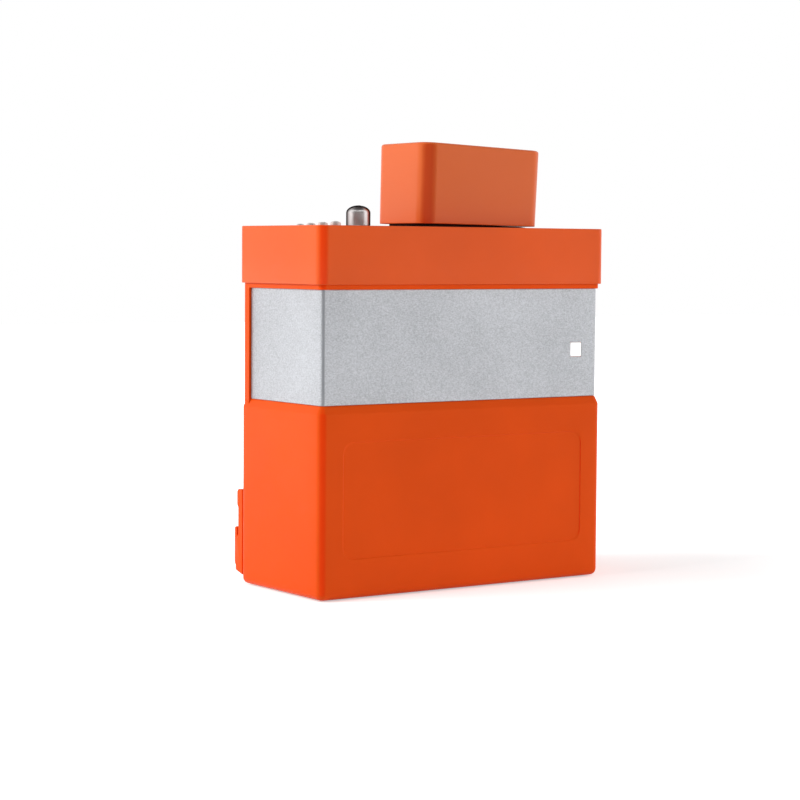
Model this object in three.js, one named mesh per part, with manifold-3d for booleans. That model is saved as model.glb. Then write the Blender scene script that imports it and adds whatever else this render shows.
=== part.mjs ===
// Portable defibrillator with one hand paddle parked on its deck, in millimetres, +Z up.
// The unit's own frame: X across the front, front face at -Y, Z = 0 under the feet.
import * as THREE from "three";
import { mergeVertices } from "three/addons/utils/BufferGeometryUtils.js";
import Module from "manifold-3d";

const wasm = await Module();
wasm.setup();

// ---------------------------------------------------------------- driving dimensions
const gap = 0.3; // clearance between neighbouring pieces

// Case tub
const bodyWidth = 287;
const bodyDepth = 124;
const bodyCorner = 6.5; // radius of the upright corners
const baseRound = 5.5; // radius of the edge under the case
const wall = 6.4; // from the body's outside to the inside of the case
const floorThickness = 5;
const footProud = 1; // how far the feet hold the case off the table
const shoulderTop = 156.5;
const shoulderHeight = 6.3;
const rimRise = 9; // from the skirt's lower edge up to the tub's rim, inside the skirt
const neckInset = 1; // the rim and the rear strip lie this far inside the body's outline
const rearStrip = 12; // upright strip behind the band's ends
const labelWidth = 247; // shallow field on the front
const labelLow = 29;
const labelHigh = 130;
const labelCorner = 10;
const labelRecess = 0.6;

// Silver band
const neckHeight = 4; // from the band's top to the skirt's lower edge
const bandInset = 3;
const bandThickness = 1;

// Deck cover
const deckTop = 300;
const deckThickness = 3;
const deckOverhang = 1.5; // past the body on each side
const deckEdgeRound = 1.2;
const skirtDepth = 47;
const gasketHeight = 2;

// Corner pillars and deck screws
const pillarBlock = 12;
const spigotRadius = 4.5;
const screwRadius = 1.5;
const screwHeadRadius = 3.6;
const screwHeadDepth = 2.2;
const screwLength = 20;

// Feet
const footRadius = 10;
const footSocket = 2; // depth of the recess that holds a foot
const footX = 108;
const footY = 38;

// Controls
const knobX = -74.2;
const knobY = -10;
const knobRadius = 10;
const knobHeight = 17.2;
const shaftRadius = 3;
const dialRadius = 26;
const dialThickness = 0.8;
const nutAcross = 12;
const nutHeight = 2.4;
const rotaryRadius = 14;
const rotaryHeight = 16;
const buttonX = -116;
const buttonTravel = 1.5;
const buttonFlange = 1.4; // the flange under the deck reaches this far past the cap
const buttonStemRadius = 1.8;
const switchSide = 7;
const switchHeight = 8;
const boardThickness = 1.6;
const boardDrop = 27; // from the deck's underside to the control board
const controlBoardLeft = -126;
const controlBoardRight = -103;
const controlBoardFront = -54;
const controlBoardRear = 29;
const postRadius = 3; // posts under the deck that carry the control board
const postFromEdge = 3;
const buttons = [
  { name: "power", y: 13.2, diameter: 6.2, height: 1.9 },
  { name: "charge", y: -3.4, diameter: 7.4, height: 2.5 },
  { name: "sync", y: -21.2, diameter: 8, height: 3.1 },
  { name: "discharge", y: -40, diameter: 8.6, height: 3.7 },
];

// Paddle, parked on the deck at a slight lean
const paddleWidth = 124;
const paddleDepth = 74;
const paddleHeight = 65;
const paddleCorner = 13;
const paddleTopRound = 3;
const paddleWall = 3;
const paddleTaper = 0.013; // the foot of the shell is this share narrower than its top
const paddleLeft = -32.3;
const paddleFront = -43;
const paddleLean = THREE.MathUtils.degToRad(2);
const paddleLift = 0.6; // from the deck to the right-hand lower edge
const shellRaise = 0.8; // the electrode stands this far below the shell
const electrodeThickness = 3;
const electrodeInset = 11; // from the shell's outline to the electrode
const restInset = 10; // from the shell's outline to the rest pad
const restWindowWidth = 62;
const restWindowDepth = 22;
const leafThickness = 1.2;
const leafDepth = 14;
const thumbRadius = 8;
const thumbTravel = 2;
const thumbX = 34; // from the paddle's middle
const inletRadius = 7;
const inletHole = 3.6;
const inletProud = 5;

// Flat back electrode in its slot behind the paddle
const backX = 25;
const backY = 44;
const backWidth = 116;
const backDepth = 118; // from the deck's top down to its lowest edge
const backPlate = 2.4;
const backHolder = 6;
const tabWidth = 54;
const tabHeight = 15;
const sleeveWall = 1.8;

// Battery
const batteryX = 64;
const batteryWidth = 98;
const batteryHeight = 58;
const batteryLength = 78;
const bayWall = 2.4;
const contactBlock = 6;

// Chassis shelf and what it carries
const shelfZ = 84;
const shelfThickness = 2;
const ledge = 8;
const capacitorRadius = 38;
const capacitorHeight = 128;
const capacitorX = -88;
const capacitorY = -8;
const clampWall = 2.5;
const clampHeight = 18;
const inductorRadius = 42;
const inductorHole = 13;
const inductorHeight = 48;
const inductorX = -72;
const coreWidth = 62;
const coreHeight = 54;
const coreDepth = 24;
const coreLimb = 10;
const coreX = -2;
const coreY = -14;
const relayX = 62;
const relayY = 2;
const boardY = -46; // main board's front face
const boardWidth = 150;
const boardHeight = 120;
const boardX = 38;

// Sockets and lead hooks on the rear
const socketX = -95;
const socketPitch = 34;
const socketZ = 196;
const socketRadius = 9;
const socketFlange = 13;
const socketProud = 3;
const socketHole = 5.5;
const socketDepth = 14; // of the housing behind the rear face
const socketHoleDepth = 10;
const inletX = 100;
const inletZ = 118;
const inletFlangeWidth = 30;
const inletFlangeHeight = 24;
const inletBodyWidth = 24; // of its opening in the tub
const inletBodyHeight = 18;
const inletRecessWidth = 17;
const inletRecessHeight = 11;
const inletRecessDepth = 12;
const chargerProud = 2;
const hookFoot = 7.5; // heights of the hook's foot, seat, lip and back plate
const hookSeat = 38.5;
const hookLip = 46.5;
const hookPlateTop = 79.5;
const hookPlate = 7.1; // thickness of the back plate
const hookSlotEnd = 15.6; // from the case to the lip's inner face
const hookPad = 1.8; // the upper pad's thickness on the back plate
const hookReach = 19.5;
const hookWidth = 18;
const hookFromSide = 2;
const hookLipWidth = 10;

// Status lens in the band
const lensX = 117.5;
const lensZ = 197;
const lensSide = 12;

// ---------------------------------------------------------------- derived places
const skirtBottom = deckTop - skirtDepth;
const rimTop = skirtBottom + rimRise;
const bandTop = skirtBottom - neckHeight;
const pillarInset = wall + spigotRadius + gap;
const halfDepth = bodyDepth / 2;
const knobDomeRise = 0.62 * knobRadius;
const innerX = bodyWidth / 2 - wall;
const innerY = halfDepth - wall;
const floorZ = footProud + floorThickness;
const deckUnder = deckTop - deckThickness;
const ledgeUnderDeck = rimTop + gasketHeight + gap;
const bandSeat = bandInset + bandThickness + gap;
const shelfTop = shelfZ + gap + shelfThickness;
const paddleX = paddleLeft + paddleWidth / 2;
const paddleY = paddleFront + paddleDepth / 2;
const controlBoardTop = deckUnder - boardDrop;
const bayBottom = floorZ + gap;
const bayWidth = batteryWidth + 2 * (gap + bayWall);
const bayHeight = batteryHeight + 2 * (gap + bayWall);
const batteryZ = bayBottom + bayWall + gap;
const batteryFront = halfDepth - batteryLength;
const pillars = [-1, 1].flatMap((sx) =>
  [-1, 1].map((sy) => ({
    x: sx * (bodyWidth / 2 - pillarInset),
    y: sy * (halfDepth - pillarInset),
    name: (sy < 0 ? "front" : "rear") + (sx < 0 ? "_left" : "_right"),
  })),
);

// ---------------------------------------------------------------- materials
const plastic = (color, roughness = 0.45) =>
  new THREE.MeshStandardMaterial({ color, roughness, metalness: 0 });
const metal = (color, roughness = 0.35) =>
  new THREE.MeshStandardMaterial({ color, roughness, metalness: 1 });
const orange = () => plastic(0xe0612b, 0.4);
const black = () => plastic(0x1c1a19, 0.5);
const rubber = () => plastic(0x201d1b, 0.85);

// ---------------------------------------------------------------- shape helpers
/** A closed geometry as a solid that can be joined and cut. */
function solid(geometry) {
  const bare = geometry.index ? geometry.toNonIndexed() : geometry.clone();
  bare.deleteAttribute("normal");
  bare.deleteAttribute("uv");
  const merged = mergeVertices(bare, 1e-4);
  return new wasm.Manifold(
    new wasm.Mesh({
      numProp: 3,
      vertProperties: merged.attributes.position.array,
      triVerts: new Uint32Array(merged.index.array),
    }),
  );
}

/** A solid as a drawable geometry. */
function geometryOf(made) {
  const { vertProperties, triVerts } = made.getMesh();
  const geometry = new THREE.BufferGeometry();
  geometry.setAttribute("position", new THREE.BufferAttribute(vertProperties, 3));
  geometry.setIndex(new THREE.BufferAttribute(triVerts, 1));
  return geometry;
}

/** A named mesh for one piece, added to a group. */
function piece(group, name, made, material) {
  const mesh = new THREE.Mesh(geometryOf(made), material);
  mesh.name = name;
  group.add(mesh);
}

/** Rectangle with round corners, centred on the origin. */
function roundRect(width, depth, radius) {
  const x = width / 2;
  const y = depth / 2;
  const shape = new THREE.Shape();
  shape.moveTo(-x + radius, -y);
  shape.lineTo(x - radius, -y);
  shape.absarc(x - radius, -y + radius, radius, -Math.PI / 2, 0);
  shape.lineTo(x, y - radius);
  shape.absarc(x - radius, y - radius, radius, 0, Math.PI / 2);
  shape.lineTo(-x + radius, y);
  shape.absarc(-x + radius, y - radius, radius, Math.PI / 2, Math.PI);
  shape.lineTo(-x, -y + radius);
  shape.absarc(-x + radius, -y + radius, radius, Math.PI, 1.5 * Math.PI);
  return shape;
}

/** Upright extrusion of a shape from z0 to z1. */
function upright(shape, z0, z1, curveSegments = 4) {
  const geometry = new THREE.ExtrudeGeometry(shape, {
    depth: z1 - z0,
    bevelEnabled: false,
    curveSegments,
  });
  return geometry.translate(0, 0, z0);
}

/** Upright extrusion whose two end edges are eased: `size` sideways over `height`. */
function eased(shape, z0, z1, size, height, segments) {
  const geometry = new THREE.ExtrudeGeometry(shape, {
    depth: z1 - z0 - 2 * height,
    bevelSize: size,
    bevelOffset: -size,
    bevelThickness: height,
    bevelSegments: segments,
    curveSegments: 4,
  });
  return geometry.translate(0, 0, z0 + height);
}

/** Box between two corners. */
function box(x0, x1, y0, y1, z0, z1) {
  const geometry = new THREE.BoxGeometry(x1 - x0, y1 - y0, z1 - z0);
  return solid(geometry.translate((x0 + x1) / 2, (y0 + y1) / 2, (z0 + z1) / 2));
}

/** Upright cylinder. */
function rod(x, y, radius, z0, z1, sides = 16) {
  const geometry = new THREE.CylinderGeometry(radius, radius, z1 - z0, sides);
  return solid(geometry.rotateX(Math.PI / 2).translate(x, y, (z0 + z1) / 2));
}

/** Cylinder along Y. */
function crossRod(x, z, radius, y0, y1, sides = 20) {
  const geometry = new THREE.CylinderGeometry(radius, radius, y1 - y0, sides);
  return solid(geometry.translate(x, (y0 + y1) / 2, z));
}

/** Solid of revolution about an upright axis: [radius, height] pairs, bottom to top. */
function turned(x, y, profile, sides = 20) {
  const points = profile.map(([r, z]) => new THREE.Vector2(r, z));
  const geometry = new THREE.LatheGeometry(points, sides);
  return solid(geometry.rotateX(Math.PI / 2).translate(x, y, 0));
}

/** The case's plan outline moved in by `inset`, from z0 to z1. */
function plan(inset, z0, z1) {
  return solid(upright(planShape(inset), z0, z1));
}

function planShape(inset) {
  const corner = Math.max(bodyCorner - inset, 1.5);
  return roundRect(bodyWidth - 2 * inset, bodyDepth - 2 * inset, corner);
}

/** Everything between two heights, for trimming. */
function layer(z0, z1) {
  return box(-bodyWidth, bodyWidth, -bodyDepth, bodyDepth, z0, z1);
}

/** Profile in the X-Z plane (points with x and z) extruded along Y from y0 to y1. */
function profileAlongY(shape, y0, y1, curveSegments = 4) {
  const geometry = upright(shape, 0, y1 - y0, curveSegments);
  return solid(geometry.rotateX(Math.PI / 2).translate(0, y1, 0));
}

// ---------------------------------------------------------------- case
/** Orange tub: body, shoulder, recessed zone for the band, rear strip, rim and pillars. */
function makeTub() {
  const middle = shoulderTop / 2;
  const roundBelow = solid(
    eased(planShape(0), footProud, shoulderTop - shoulderHeight / 2, baseRound, baseRound, 4),
  );
  const base = roundBelow.intersect(layer(0, middle));
  const bevelAbove = solid(
    eased(planShape(0), footProud, shoulderTop, bandInset, shoulderHeight, 1),
  );
  const upper = bevelAbove.intersect(layer(middle, shoulderTop));
  const backing = plan(bandSeat, middle, bandTop + gap);
  const strip = plan(neckInset, middle, bandTop + gap).intersect(
    box(-bodyWidth, bodyWidth, halfDepth - rearStrip, bodyDepth, 0, deckTop),
  );
  let tub = base.add(upper).add(backing).add(strip);
  tub = tub.add(plan(neckInset, bandTop, rimTop));
  tub = tub.subtract(plan(wall, floorZ, deckTop));
  for (const sx of [-1, 1]) {
    const x = [sx * (innerX - ledge), sx * (innerX + 1)].sort((a, b) => a - b);
    tub = tub.add(box(x[0], x[1], -innerY / 2, innerY / 2, shelfZ - 5, shelfZ));
  }
  for (const { x, y } of pillars) tub = tub.add(makePillar(x, y));
  for (const { x, y } of pillars) {
    const screwEnd = deckUnder - screwLength;
    tub = tub.subtract(rod(x, y, screwRadius + gap, screwEnd - 1, deckTop, 12));
  }
  return cutTubOpenings(tub);
}

/** Corner pillar: a block merged with the walls, and a spigot up to the deck. */
function makePillar(x, y) {
  const half = pillarBlock / 2;
  const block = box(x - half, x + half, y - half, y + half, floorZ - 1, rimTop);
  return block.add(rod(x, y, spigotRadius, rimTop - 1, deckUnder - gap));
}

function cutTubOpenings(tub) {
  const label = roundRect(labelWidth, labelHigh - labelLow, labelCorner);
  const field = profileAlongY(label, -halfDepth - 5, -halfDepth + labelRecess);
  tub = tub.subtract(field.translate([0, 0, (labelLow + labelHigh) / 2]));
  for (const x of [-footX, footX])
    for (const y of [-footY, footY])
      tub = tub.subtract(rod(x, y, footRadius + gap, -1, footProud + footSocket + gap));
  const halfBay = batteryWidth / 2 + gap;
  const mouth = box(
    batteryX - halfBay, batteryX + halfBay, 0, bodyDepth,
    batteryZ - gap, batteryZ + batteryHeight + gap,
  );
  tub = tub.subtract(mouth);
  for (const i of [0, 1]) {
    const x = socketX + i * socketPitch;
    tub = tub.subtract(crossRod(x, socketZ, socketRadius + gap, 0, bodyDepth));
  }
  tub = tub.subtract(
    box(
      inletX - inletBodyWidth / 2, inletX + inletBodyWidth / 2, 0, bodyDepth,
      inletZ - inletBodyHeight / 2, inletZ + inletBodyHeight / 2,
    ),
  );
  const half = lensSide / 2 + gap;
  return tub.subtract(
    box(lensX - half, lensX + half, -bodyDepth, 0, lensZ - half, lensZ + half),
  );
}

/** Thin metal band round the left, front and right of the case. */
function makeBand() {
  const low = shoulderTop + gap;
  const ring = plan(bandInset, low, bandTop).subtract(
    plan(bandInset + bandThickness, low - 1, bandTop + 1),
  );
  const front = box(
    -bodyWidth, bodyWidth, -bodyDepth, halfDepth - rearStrip - gap, 0, deckTop,
  );
  const half = lensSide / 2 + gap;
  return ring
    .intersect(front)
    .subtract(box(lensX - half, lensX + half, -bodyDepth, 0, lensZ - half, lensZ + half));
}

/** Overhanging orange cover with its skirt, deck and the places for what it carries. */
function makeDeck() {
  const outline = planShape(-deckOverhang);
  const full = solid(eased(outline, skirtBottom - 5, deckTop, deckEdgeRound, deckEdgeRound, 2));
  let deck = full.intersect(layer(skirtBottom, deckTop + 1));
  deck = deck.subtract(plan(neckInset - gap, skirtBottom - 1, ledgeUnderDeck));
  deck = deck.subtract(plan(wall, skirtBottom - 1, deckUnder));
  for (const y of [controlBoardFront + postFromEdge, controlBoardRear - postFromEdge])
    deck = deck.add(rod(buttonX, y, postRadius, controlBoardTop + gap, deckUnder + 1, 16));
  for (const { x, y } of pillars) {
    deck = deck.subtract(rod(x, y, screwRadius + gap, deckUnder - 1, deckTop + 1, 16));
    deck = deck.subtract(
      turned(x, y, [
        [0, deckTop - screwHeadDepth - gap],
        [screwRadius + gap, deckTop - screwHeadDepth - gap],
        [screwHeadRadius + gap, deckTop],
        [screwHeadRadius + gap, deckTop + 1],
        [0, deckTop + 1],
      ], 20),
    );
  }
  deck = deck.subtract(rod(knobX, knobY, shaftRadius + 2 * gap, 0, deckTop + 1));
  deck = deck.subtract(rod(knobX, knobY, dialRadius + gap, deckTop - 0.5, deckTop + 1, 36));
  for (const b of buttons)
    deck = deck.subtract(rod(buttonX, b.y, b.diameter / 2 + gap, deckUnder - 1, deckTop + 1));
  deck = deck.subtract(
    solid(upright(slotOutline(gap), deckUnder - 1, deckTop + 1)).translate([backX, backY, 0]),
  );
  return deck;
}

/** Rubber ring between the tub's rim and the deck cover. */
function makeGasket() {
  const low = rimTop + gap / 2;
  return plan(neckInset + gap, low, low + gasketHeight).subtract(
    plan(wall, low - 1, low + gasketHeight + 1),
  );
}

function makeScrew(x, y) {
  return turned(x, y, [
    [0, deckTop - screwLength],
    [screwRadius, deckTop - screwLength],
    [screwRadius, deckTop - screwHeadDepth],
    [screwHeadRadius, deckTop - gap],
    [0, deckTop - gap],
  ], 16);
}

function makeFoot(x, y) {
  return turned(x, y, [
    [0, 0],
    [footRadius - 1, 0],
    [footRadius, 0.8],
    [footRadius, footProud + footSocket],
    [0, footProud + footSocket],
  ]);
}

// ---------------------------------------------------------------- controls
/** Domed selector knob, hollow under its skirt for the shaft and its nut. */
function makeKnob() {
  const low = deckTop + dialThickness - 0.5 + gap;
  const shoulder = deckTop + knobHeight - knobDomeRise;
  const profile = [[0, low], [knobRadius, low]];
  for (let i = 0; i <= 6; i++) {
    const angle = (i / 6) * (Math.PI / 2);
    profile.push([
      i === 6 ? 0 : knobRadius * Math.cos(angle),
      shoulder + knobDomeRise * Math.sin(angle),
    ]);
  }
  const nutRoom = nutAcross / Math.sqrt(3) + 2 * gap;
  return turned(knobX, knobY, profile, 32)
    .subtract(rod(knobX, knobY, nutRoom, 0, low + nutHeight + 2 * gap))
    .subtract(rod(knobX, knobY, shaftRadius + gap, 0, shoulder + gap, 20));
}

function makeShaft() {
  const top = deckTop + knobHeight - knobDomeRise;
  return rod(knobX, knobY, shaftRadius, deckUnder - rotaryHeight + 2, top, 20);
}

function makeShaftNut() {
  const low = deckTop - 0.5 + dialThickness + gap / 2;
  const hex = rod(knobX, knobY, nutAcross / Math.sqrt(3), low, low + nutHeight, 6);
  return hex.subtract(rod(knobX, knobY, shaftRadius + gap, 0, deckTop * 2, 20));
}

function makeDialPlate() {
  const low = deckTop - 0.5;
  const plate = rod(knobX, knobY, dialRadius, low, low + dialThickness, 36);
  return plate.subtract(rod(knobX, knobY, shaftRadius + 2 * gap, 0, deckTop * 2, 20));
}

/** Rotary energy switch under the deck, with the shaft's bore open at both ends. */
function makeRotarySwitch() {
  const top = deckUnder - gap;
  const can = rod(knobX, knobY, rotaryRadius, top - rotaryHeight, top);
  const lug = box(
    knobX - rotaryRadius - 4, knobX + rotaryRadius + 4, knobY - 3, knobY + 3,
    top - rotaryHeight, top - rotaryHeight + 1.5,
  );
  return can.add(lug).subtract(rod(knobX, knobY, shaftRadius + gap, 0, deckTop * 2, 20));
}

/** Push button: stem, retaining flange under the deck and domed cap. */
function makeButton({ y, diameter, height }) {
  const radius = diameter / 2;
  const flangeTop = deckUnder - gap;
  const stemEnd = controlBoardTop + switchHeight + buttonTravel + 2 * gap;
  const rise = height * 0.55;
  const profile = [
    [0, stemEnd],
    [buttonStemRadius, stemEnd],
    [buttonStemRadius, flangeTop - 2],
    [radius + buttonFlange, flangeTop - 2],
    [radius + buttonFlange, flangeTop],
    [radius, flangeTop],
  ];
  for (let i = 0; i <= 4; i++) {
    const angle = (i / 4) * (Math.PI / 2);
    profile.push([
      i === 4 ? 0 : radius * Math.cos(angle),
      deckTop + height - rise + rise * Math.sin(angle),
    ]);
  }
  return turned(buttonX, y, profile, 16);
}

function makePushSwitch({ y }) {
  const half = switchSide / 2;
  const low = controlBoardTop + gap / 2;
  return box(
    buttonX - half, buttonX + half, y - half, y + half, low, low + switchHeight,
  );
}

function makeControlBoard() {
  return box(
    controlBoardLeft, controlBoardRight, controlBoardFront, controlBoardRear,
    controlBoardTop - boardThickness, controlBoardTop,
  );
}

// ---------------------------------------------------------------- paddle
/** The paddle's outline moved in by `inset`. */
function paddleOutline(inset) {
  return roundRect(
    paddleWidth - 2 * inset, paddleDepth - 2 * inset, Math.max(paddleCorner - inset, 2),
  );
}

/** Narrows a geometry evenly towards its foot. */
function tapered(geometry) {
  const p = geometry.attributes.position;
  for (let i = 0; i < p.count; i++) {
    const scale = 1 - paddleTaper * (1 - p.getZ(i) / paddleHeight);
    p.setXY(i, p.getX(i) * scale, p.getY(i) * scale);
  }
  return geometry;
}

/** Orange shell, open underneath, with the thumb button's hole and the lead's hole. */
function makePaddleShell() {
  const outline = paddleOutline(0);
  const outer = solid(
    tapered(eased(outline, -20, paddleHeight, paddleTopRound, paddleTopRound, 3)),
  ).intersect(layer(shellRaise, paddleHeight + 1));
  const room = solid(tapered(upright(paddleOutline(paddleWall), -1, paddleHeight - paddleWall)));
  const rear = paddleDepth / 2;
  return outer
    .subtract(room)
    .subtract(rod(thumbX, 0, thumbRadius + gap, 0, paddleHeight + 1))
    .subtract(crossRod(0, paddleHeight / 2, inletRadius + gap, 0, rear + 5));
}

/** Black insulating base that closes the shell and carries the electrode. */
function makePaddleBase() {
  const top = shellRaise + 6;
  const plate = solid(tapered(upright(paddleOutline(paddleWall + gap), shellRaise, top)));
  const seat = solid(
    upright(paddleOutline(electrodeInset - gap), -1, electrodeThickness + gap),
  );
  const post = rod(thumbX, 0, 6, top - 1, paddleHeight - 24);
  return plate.add(post).subtract(seat);
}

function makePaddleElectrode() {
  return solid(upright(paddleOutline(electrodeInset), 0, electrodeThickness));
}

/** Discharge button under the thumb, almost flush with the shell's top. */
function makeThumbButton() {
  const under = paddleHeight - paddleWall - gap;
  return turned(thumbX, 0, [
    [0, under - 7],
    [3, under - 7],
    [3, under - 2],
    [thumbRadius + 2, under - 2],
    [thumbRadius + 2, under],
    [thumbRadius, under],
    [thumbRadius, paddleHeight - 0.6],
    [thumbRadius - 0.8, paddleHeight],
    [0, paddleHeight],
  ]);
}

function makeThumbSwitch() {
  const low = paddleHeight - 24 + gap;
  const high = paddleHeight - paddleWall - gap - 7 - thumbTravel - gap;
  return box(thumbX - 5, thumbX + 5, -5, 5, low, high);
}

/** Black bush in the shell's rear wall, where the paddle's lead goes in. */
function makeLeadBush() {
  const rear = paddleDepth / 2;
  const z = paddleHeight / 2;
  return crossRod(0, z, inletRadius, rear - paddleWall - 3, rear + inletProud)
    .add(crossRod(0, z, inletRadius + 2.5, rear + gap, rear + 2.3))
    .subtract(crossRod(0, z, inletHole, 0, rear + inletProud + 1));
}

/** Rubber wedge on the deck that carries the leaning paddle, with a window in it. */
function makeRestPad() {
  const left = paddleLeft + restInset;
  const right = paddleLeft + paddleWidth - restInset;
  const hinge = paddleLeft + paddleWidth;
  const top = (x) => paddleLift - gap + (hinge - x) * Math.tan(paddleLean);
  const half = paddleDepth / 2 - restInset;
  const shape = new THREE.Shape();
  shape.moveTo(left, gap / 3);
  shape.lineTo(right, gap / 3);
  shape.lineTo(right, top(right));
  shape.lineTo(left, top(left));
  const wedge = profileAlongY(shape, paddleY - half, paddleY + half);
  const windowX = restWindowWidth / 2;
  const windowY = restWindowDepth / 2;
  const window = box(
    paddleX - windowX, paddleX + windowX, paddleY - windowY, paddleY + windowY, -1, 20,
  );
  return wedge.subtract(window).translate([0, 0, deckTop]);
}

/** Springy contact leaf in the pad's window, under the parked electrode. */
function makeContactLeaf() {
  const half = restWindowWidth / 2 - 1;
  return box(-half, half, -leafDepth / 2, leafDepth / 2, -gap - leafThickness, -gap);
}

// ---------------------------------------------------------------- back electrode
/** Plan outline of the slot for the back electrode, `clear` larger all round. */
function slotOutline(clear) {
  const thick = backPlate + backHolder + 2 * clear;
  return roundRect(backWidth + 2 * clear, thick, clear + 0.2);
}

/** Front view of the back electrode: straight top, round bottom. */
function backOutline(inset) {
  const r = backWidth / 2 - inset;
  const shape = new THREE.Shape();
  shape.moveTo(r, deckTop - deckThickness - inset);
  shape.lineTo(-r, deckTop - deckThickness - inset);
  shape.lineTo(-r, deckTop - backDepth + backWidth / 2);
  shape.absarc(0, deckTop - backDepth + backWidth / 2, r, Math.PI, 2 * Math.PI);
  return shape;
}

/** Insulating holder of the back electrode, with the grip tab that stands above the deck. */
function makeBackHolder() {
  const y0 = backY - (backPlate + backHolder) / 2;
  const disc = profileAlongY(backOutline(0), y0, y0 + backHolder, 10);
  const tab = roundRect(tabWidth, tabHeight * 2, 6);
  const grip = profileAlongY(tab, y0, y0 + backHolder).translate([0, 0, deckTop]);
  const neck = box(
    -tabWidth / 2, tabWidth / 2, y0, y0 + backHolder, deckUnder - 4, deckTop + 2,
  );
  return disc.add(grip).add(neck).translate([backX, 0, 0]);
}

function makeBackPlate() {
  const y1 = backY + (backPlate + backHolder) / 2;
  return profileAlongY(backOutline(5), y1 - backPlate + gap, y1, 10).translate([backX, 0, 0]);
}

/** Pocket under the deck that keeps the back electrode clear of the circuits. */
function makeSleeve() {
  const bottom = deckTop - backDepth - 2;
  const outer = solid(upright(slotOutline(gap + sleeveWall), bottom - sleeveWall, deckUnder - gap));
  return outer
    .subtract(solid(upright(slotOutline(gap), bottom, deckTop)))
    .translate([backX, backY, 0]);
}

// ---------------------------------------------------------------- battery
/** Slide-in battery with a finger recess in its rear face. */
function makeBattery() {
  const half = batteryWidth / 2;
  const pack = box(
    batteryX - half, batteryX + half, batteryFront, halfDepth,
    batteryZ, batteryZ + batteryHeight,
  );
  const middle = batteryZ + batteryHeight / 2;
  const scoop = roundRect(56, 18, 8);
  const recess = profileAlongY(scoop, halfDepth - 9, halfDepth + 1);
  return pack.subtract(recess.translate([batteryX, 0, middle]));
}

/** Open-backed bay that guides the battery. */
function makeBay() {
  const half = bayWidth / 2;
  const front = batteryFront - gap - contactBlock - gap;
  const outer = box(
    batteryX - half, batteryX + half, front - bayWall, innerY - gap,
    bayBottom, bayBottom + bayHeight,
  );
  const inner = box(
    batteryX - half + bayWall, batteryX + half - bayWall, front, bodyDepth,
    bayBottom + bayWall, bayBottom + bayHeight - bayWall,
  );
  return outer.subtract(inner);
}

/** Brass contact at the bay's end: sx -1 or 1 for the two poles. */
function makeBayContact(sx) {
  const x = batteryX + sx * 24;
  const z = batteryZ + batteryHeight / 2;
  const high = batteryFront - gap;
  return box(x - 7, x + 7, high - contactBlock, high, z - 10, z + 10);
}

// ---------------------------------------------------------------- chassis
/** Aluminium shelf on the tub's ledges, notched round the corner pillars. */
function makeShelf() {
  let shelf = plan(wall + gap, shelfZ + gap, shelfTop);
  const half = pillarBlock / 2 + gap;
  for (const { x, y } of pillars)
    shelf = shelf.subtract(box(x - half, x + half, y - half, y + half, 0, deckTop));
  return shelf;
}

/** Energy-storage capacitor: a can with two terminal posts on an insulating cap. */
function makeCapacitor() {
  const low = shelfTop + gap;
  const high = low + capacitorHeight;
  let can = turned(capacitorX, capacitorY, [
    [0, low],
    [capacitorRadius - 1, low],
    [capacitorRadius, low + 1],
    [capacitorRadius, high - 2],
    [capacitorRadius - 2, high],
    [0, high],
  ], 28);
  for (const sx of [-1, 1]) {
    can = can.add(rod(capacitorX + sx * 14, capacitorY, 7, high - 1, high + 8));
    can = can.add(rod(capacitorX + sx * 14, capacitorY, 3, high + 7, high + 16, 12));
  }
  return can;
}

/** Clamp ring that holds the capacitor, with a foot on each side. */
function makeClamp() {
  const low = shelfTop + gap;
  const inner = capacitorRadius + gap;
  const outer = inner + clampWall;
  const foot = box(
    capacitorX - outer - 5, capacitorX + outer + 5, capacitorY - 8, capacitorY + 8,
    low, low + 2.5,
  );
  return rod(capacitorX, capacitorY, outer, low, low + clampHeight, 28)
    .add(foot)
    .subtract(rod(capacitorX, capacitorY, inner, 0, deckTop, 28));
}

/** Wave-shaping inductor: a thick ring coil lying on the tub's floor. */
function makeInductor() {
  const low = floorZ + gap;
  const coil = rod(inductorX, 0, inductorRadius, low, low + inductorHeight, 28);
  return coil.subtract(rod(inductorX, 0, inductorHole, 0, deckTop, 28));
}

/** Plastic core plug with a flange, which holds the inductor down. */
function makeInductorPlug() {
  const low = floorZ + gap;
  const top = low + inductorHeight;
  return rod(inductorX, 0, inductorHole - gap, low, top + 1).add(
    rod(inductorX, 0, inductorHole + 12, top + gap, top + 3.5),
  );
}

/** Laminated core with two windows round the middle limb. */
function makeCore() {
  const low = shelfTop + gap;
  const half = coreWidth / 2;
  const window = (coreWidth - 4 * coreLimb) / 2;
  let core = box(
    coreX - half, coreX + half, coreY - coreDepth / 2, coreY + coreDepth / 2,
    low, low + coreHeight,
  );
  for (const side of [-1, 1]) {
    const x0 = coreX + (side < 0 ? -coreLimb - window : coreLimb);
    core = core.subtract(
      box(x0, x0 + window, -bodyDepth, bodyDepth, low + coreLimb, low + coreHeight - coreLimb),
    );
  }
  return core;
}

/** Winding wrapped round the core's middle limb. */
function makeWinding() {
  const low = shelfTop + gap + coreLimb + gap;
  const high = shelfTop + gap + coreHeight - coreLimb - gap;
  const window = (coreWidth - 4 * coreLimb) / 2;
  const reach = window - gap;
  const outer = roundRect(2 * (coreLimb + reach), coreDepth + 2 * reach, 4);
  const inner = roundRect(2 * (coreLimb + gap), coreDepth + 2 * gap, 0.5);
  const ring = solid(upright(outer, low, high)).subtract(
    solid(upright(inner, low - 1, high + 1)),
  );
  return ring.translate([coreX, coreY, 0]);
}

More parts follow.
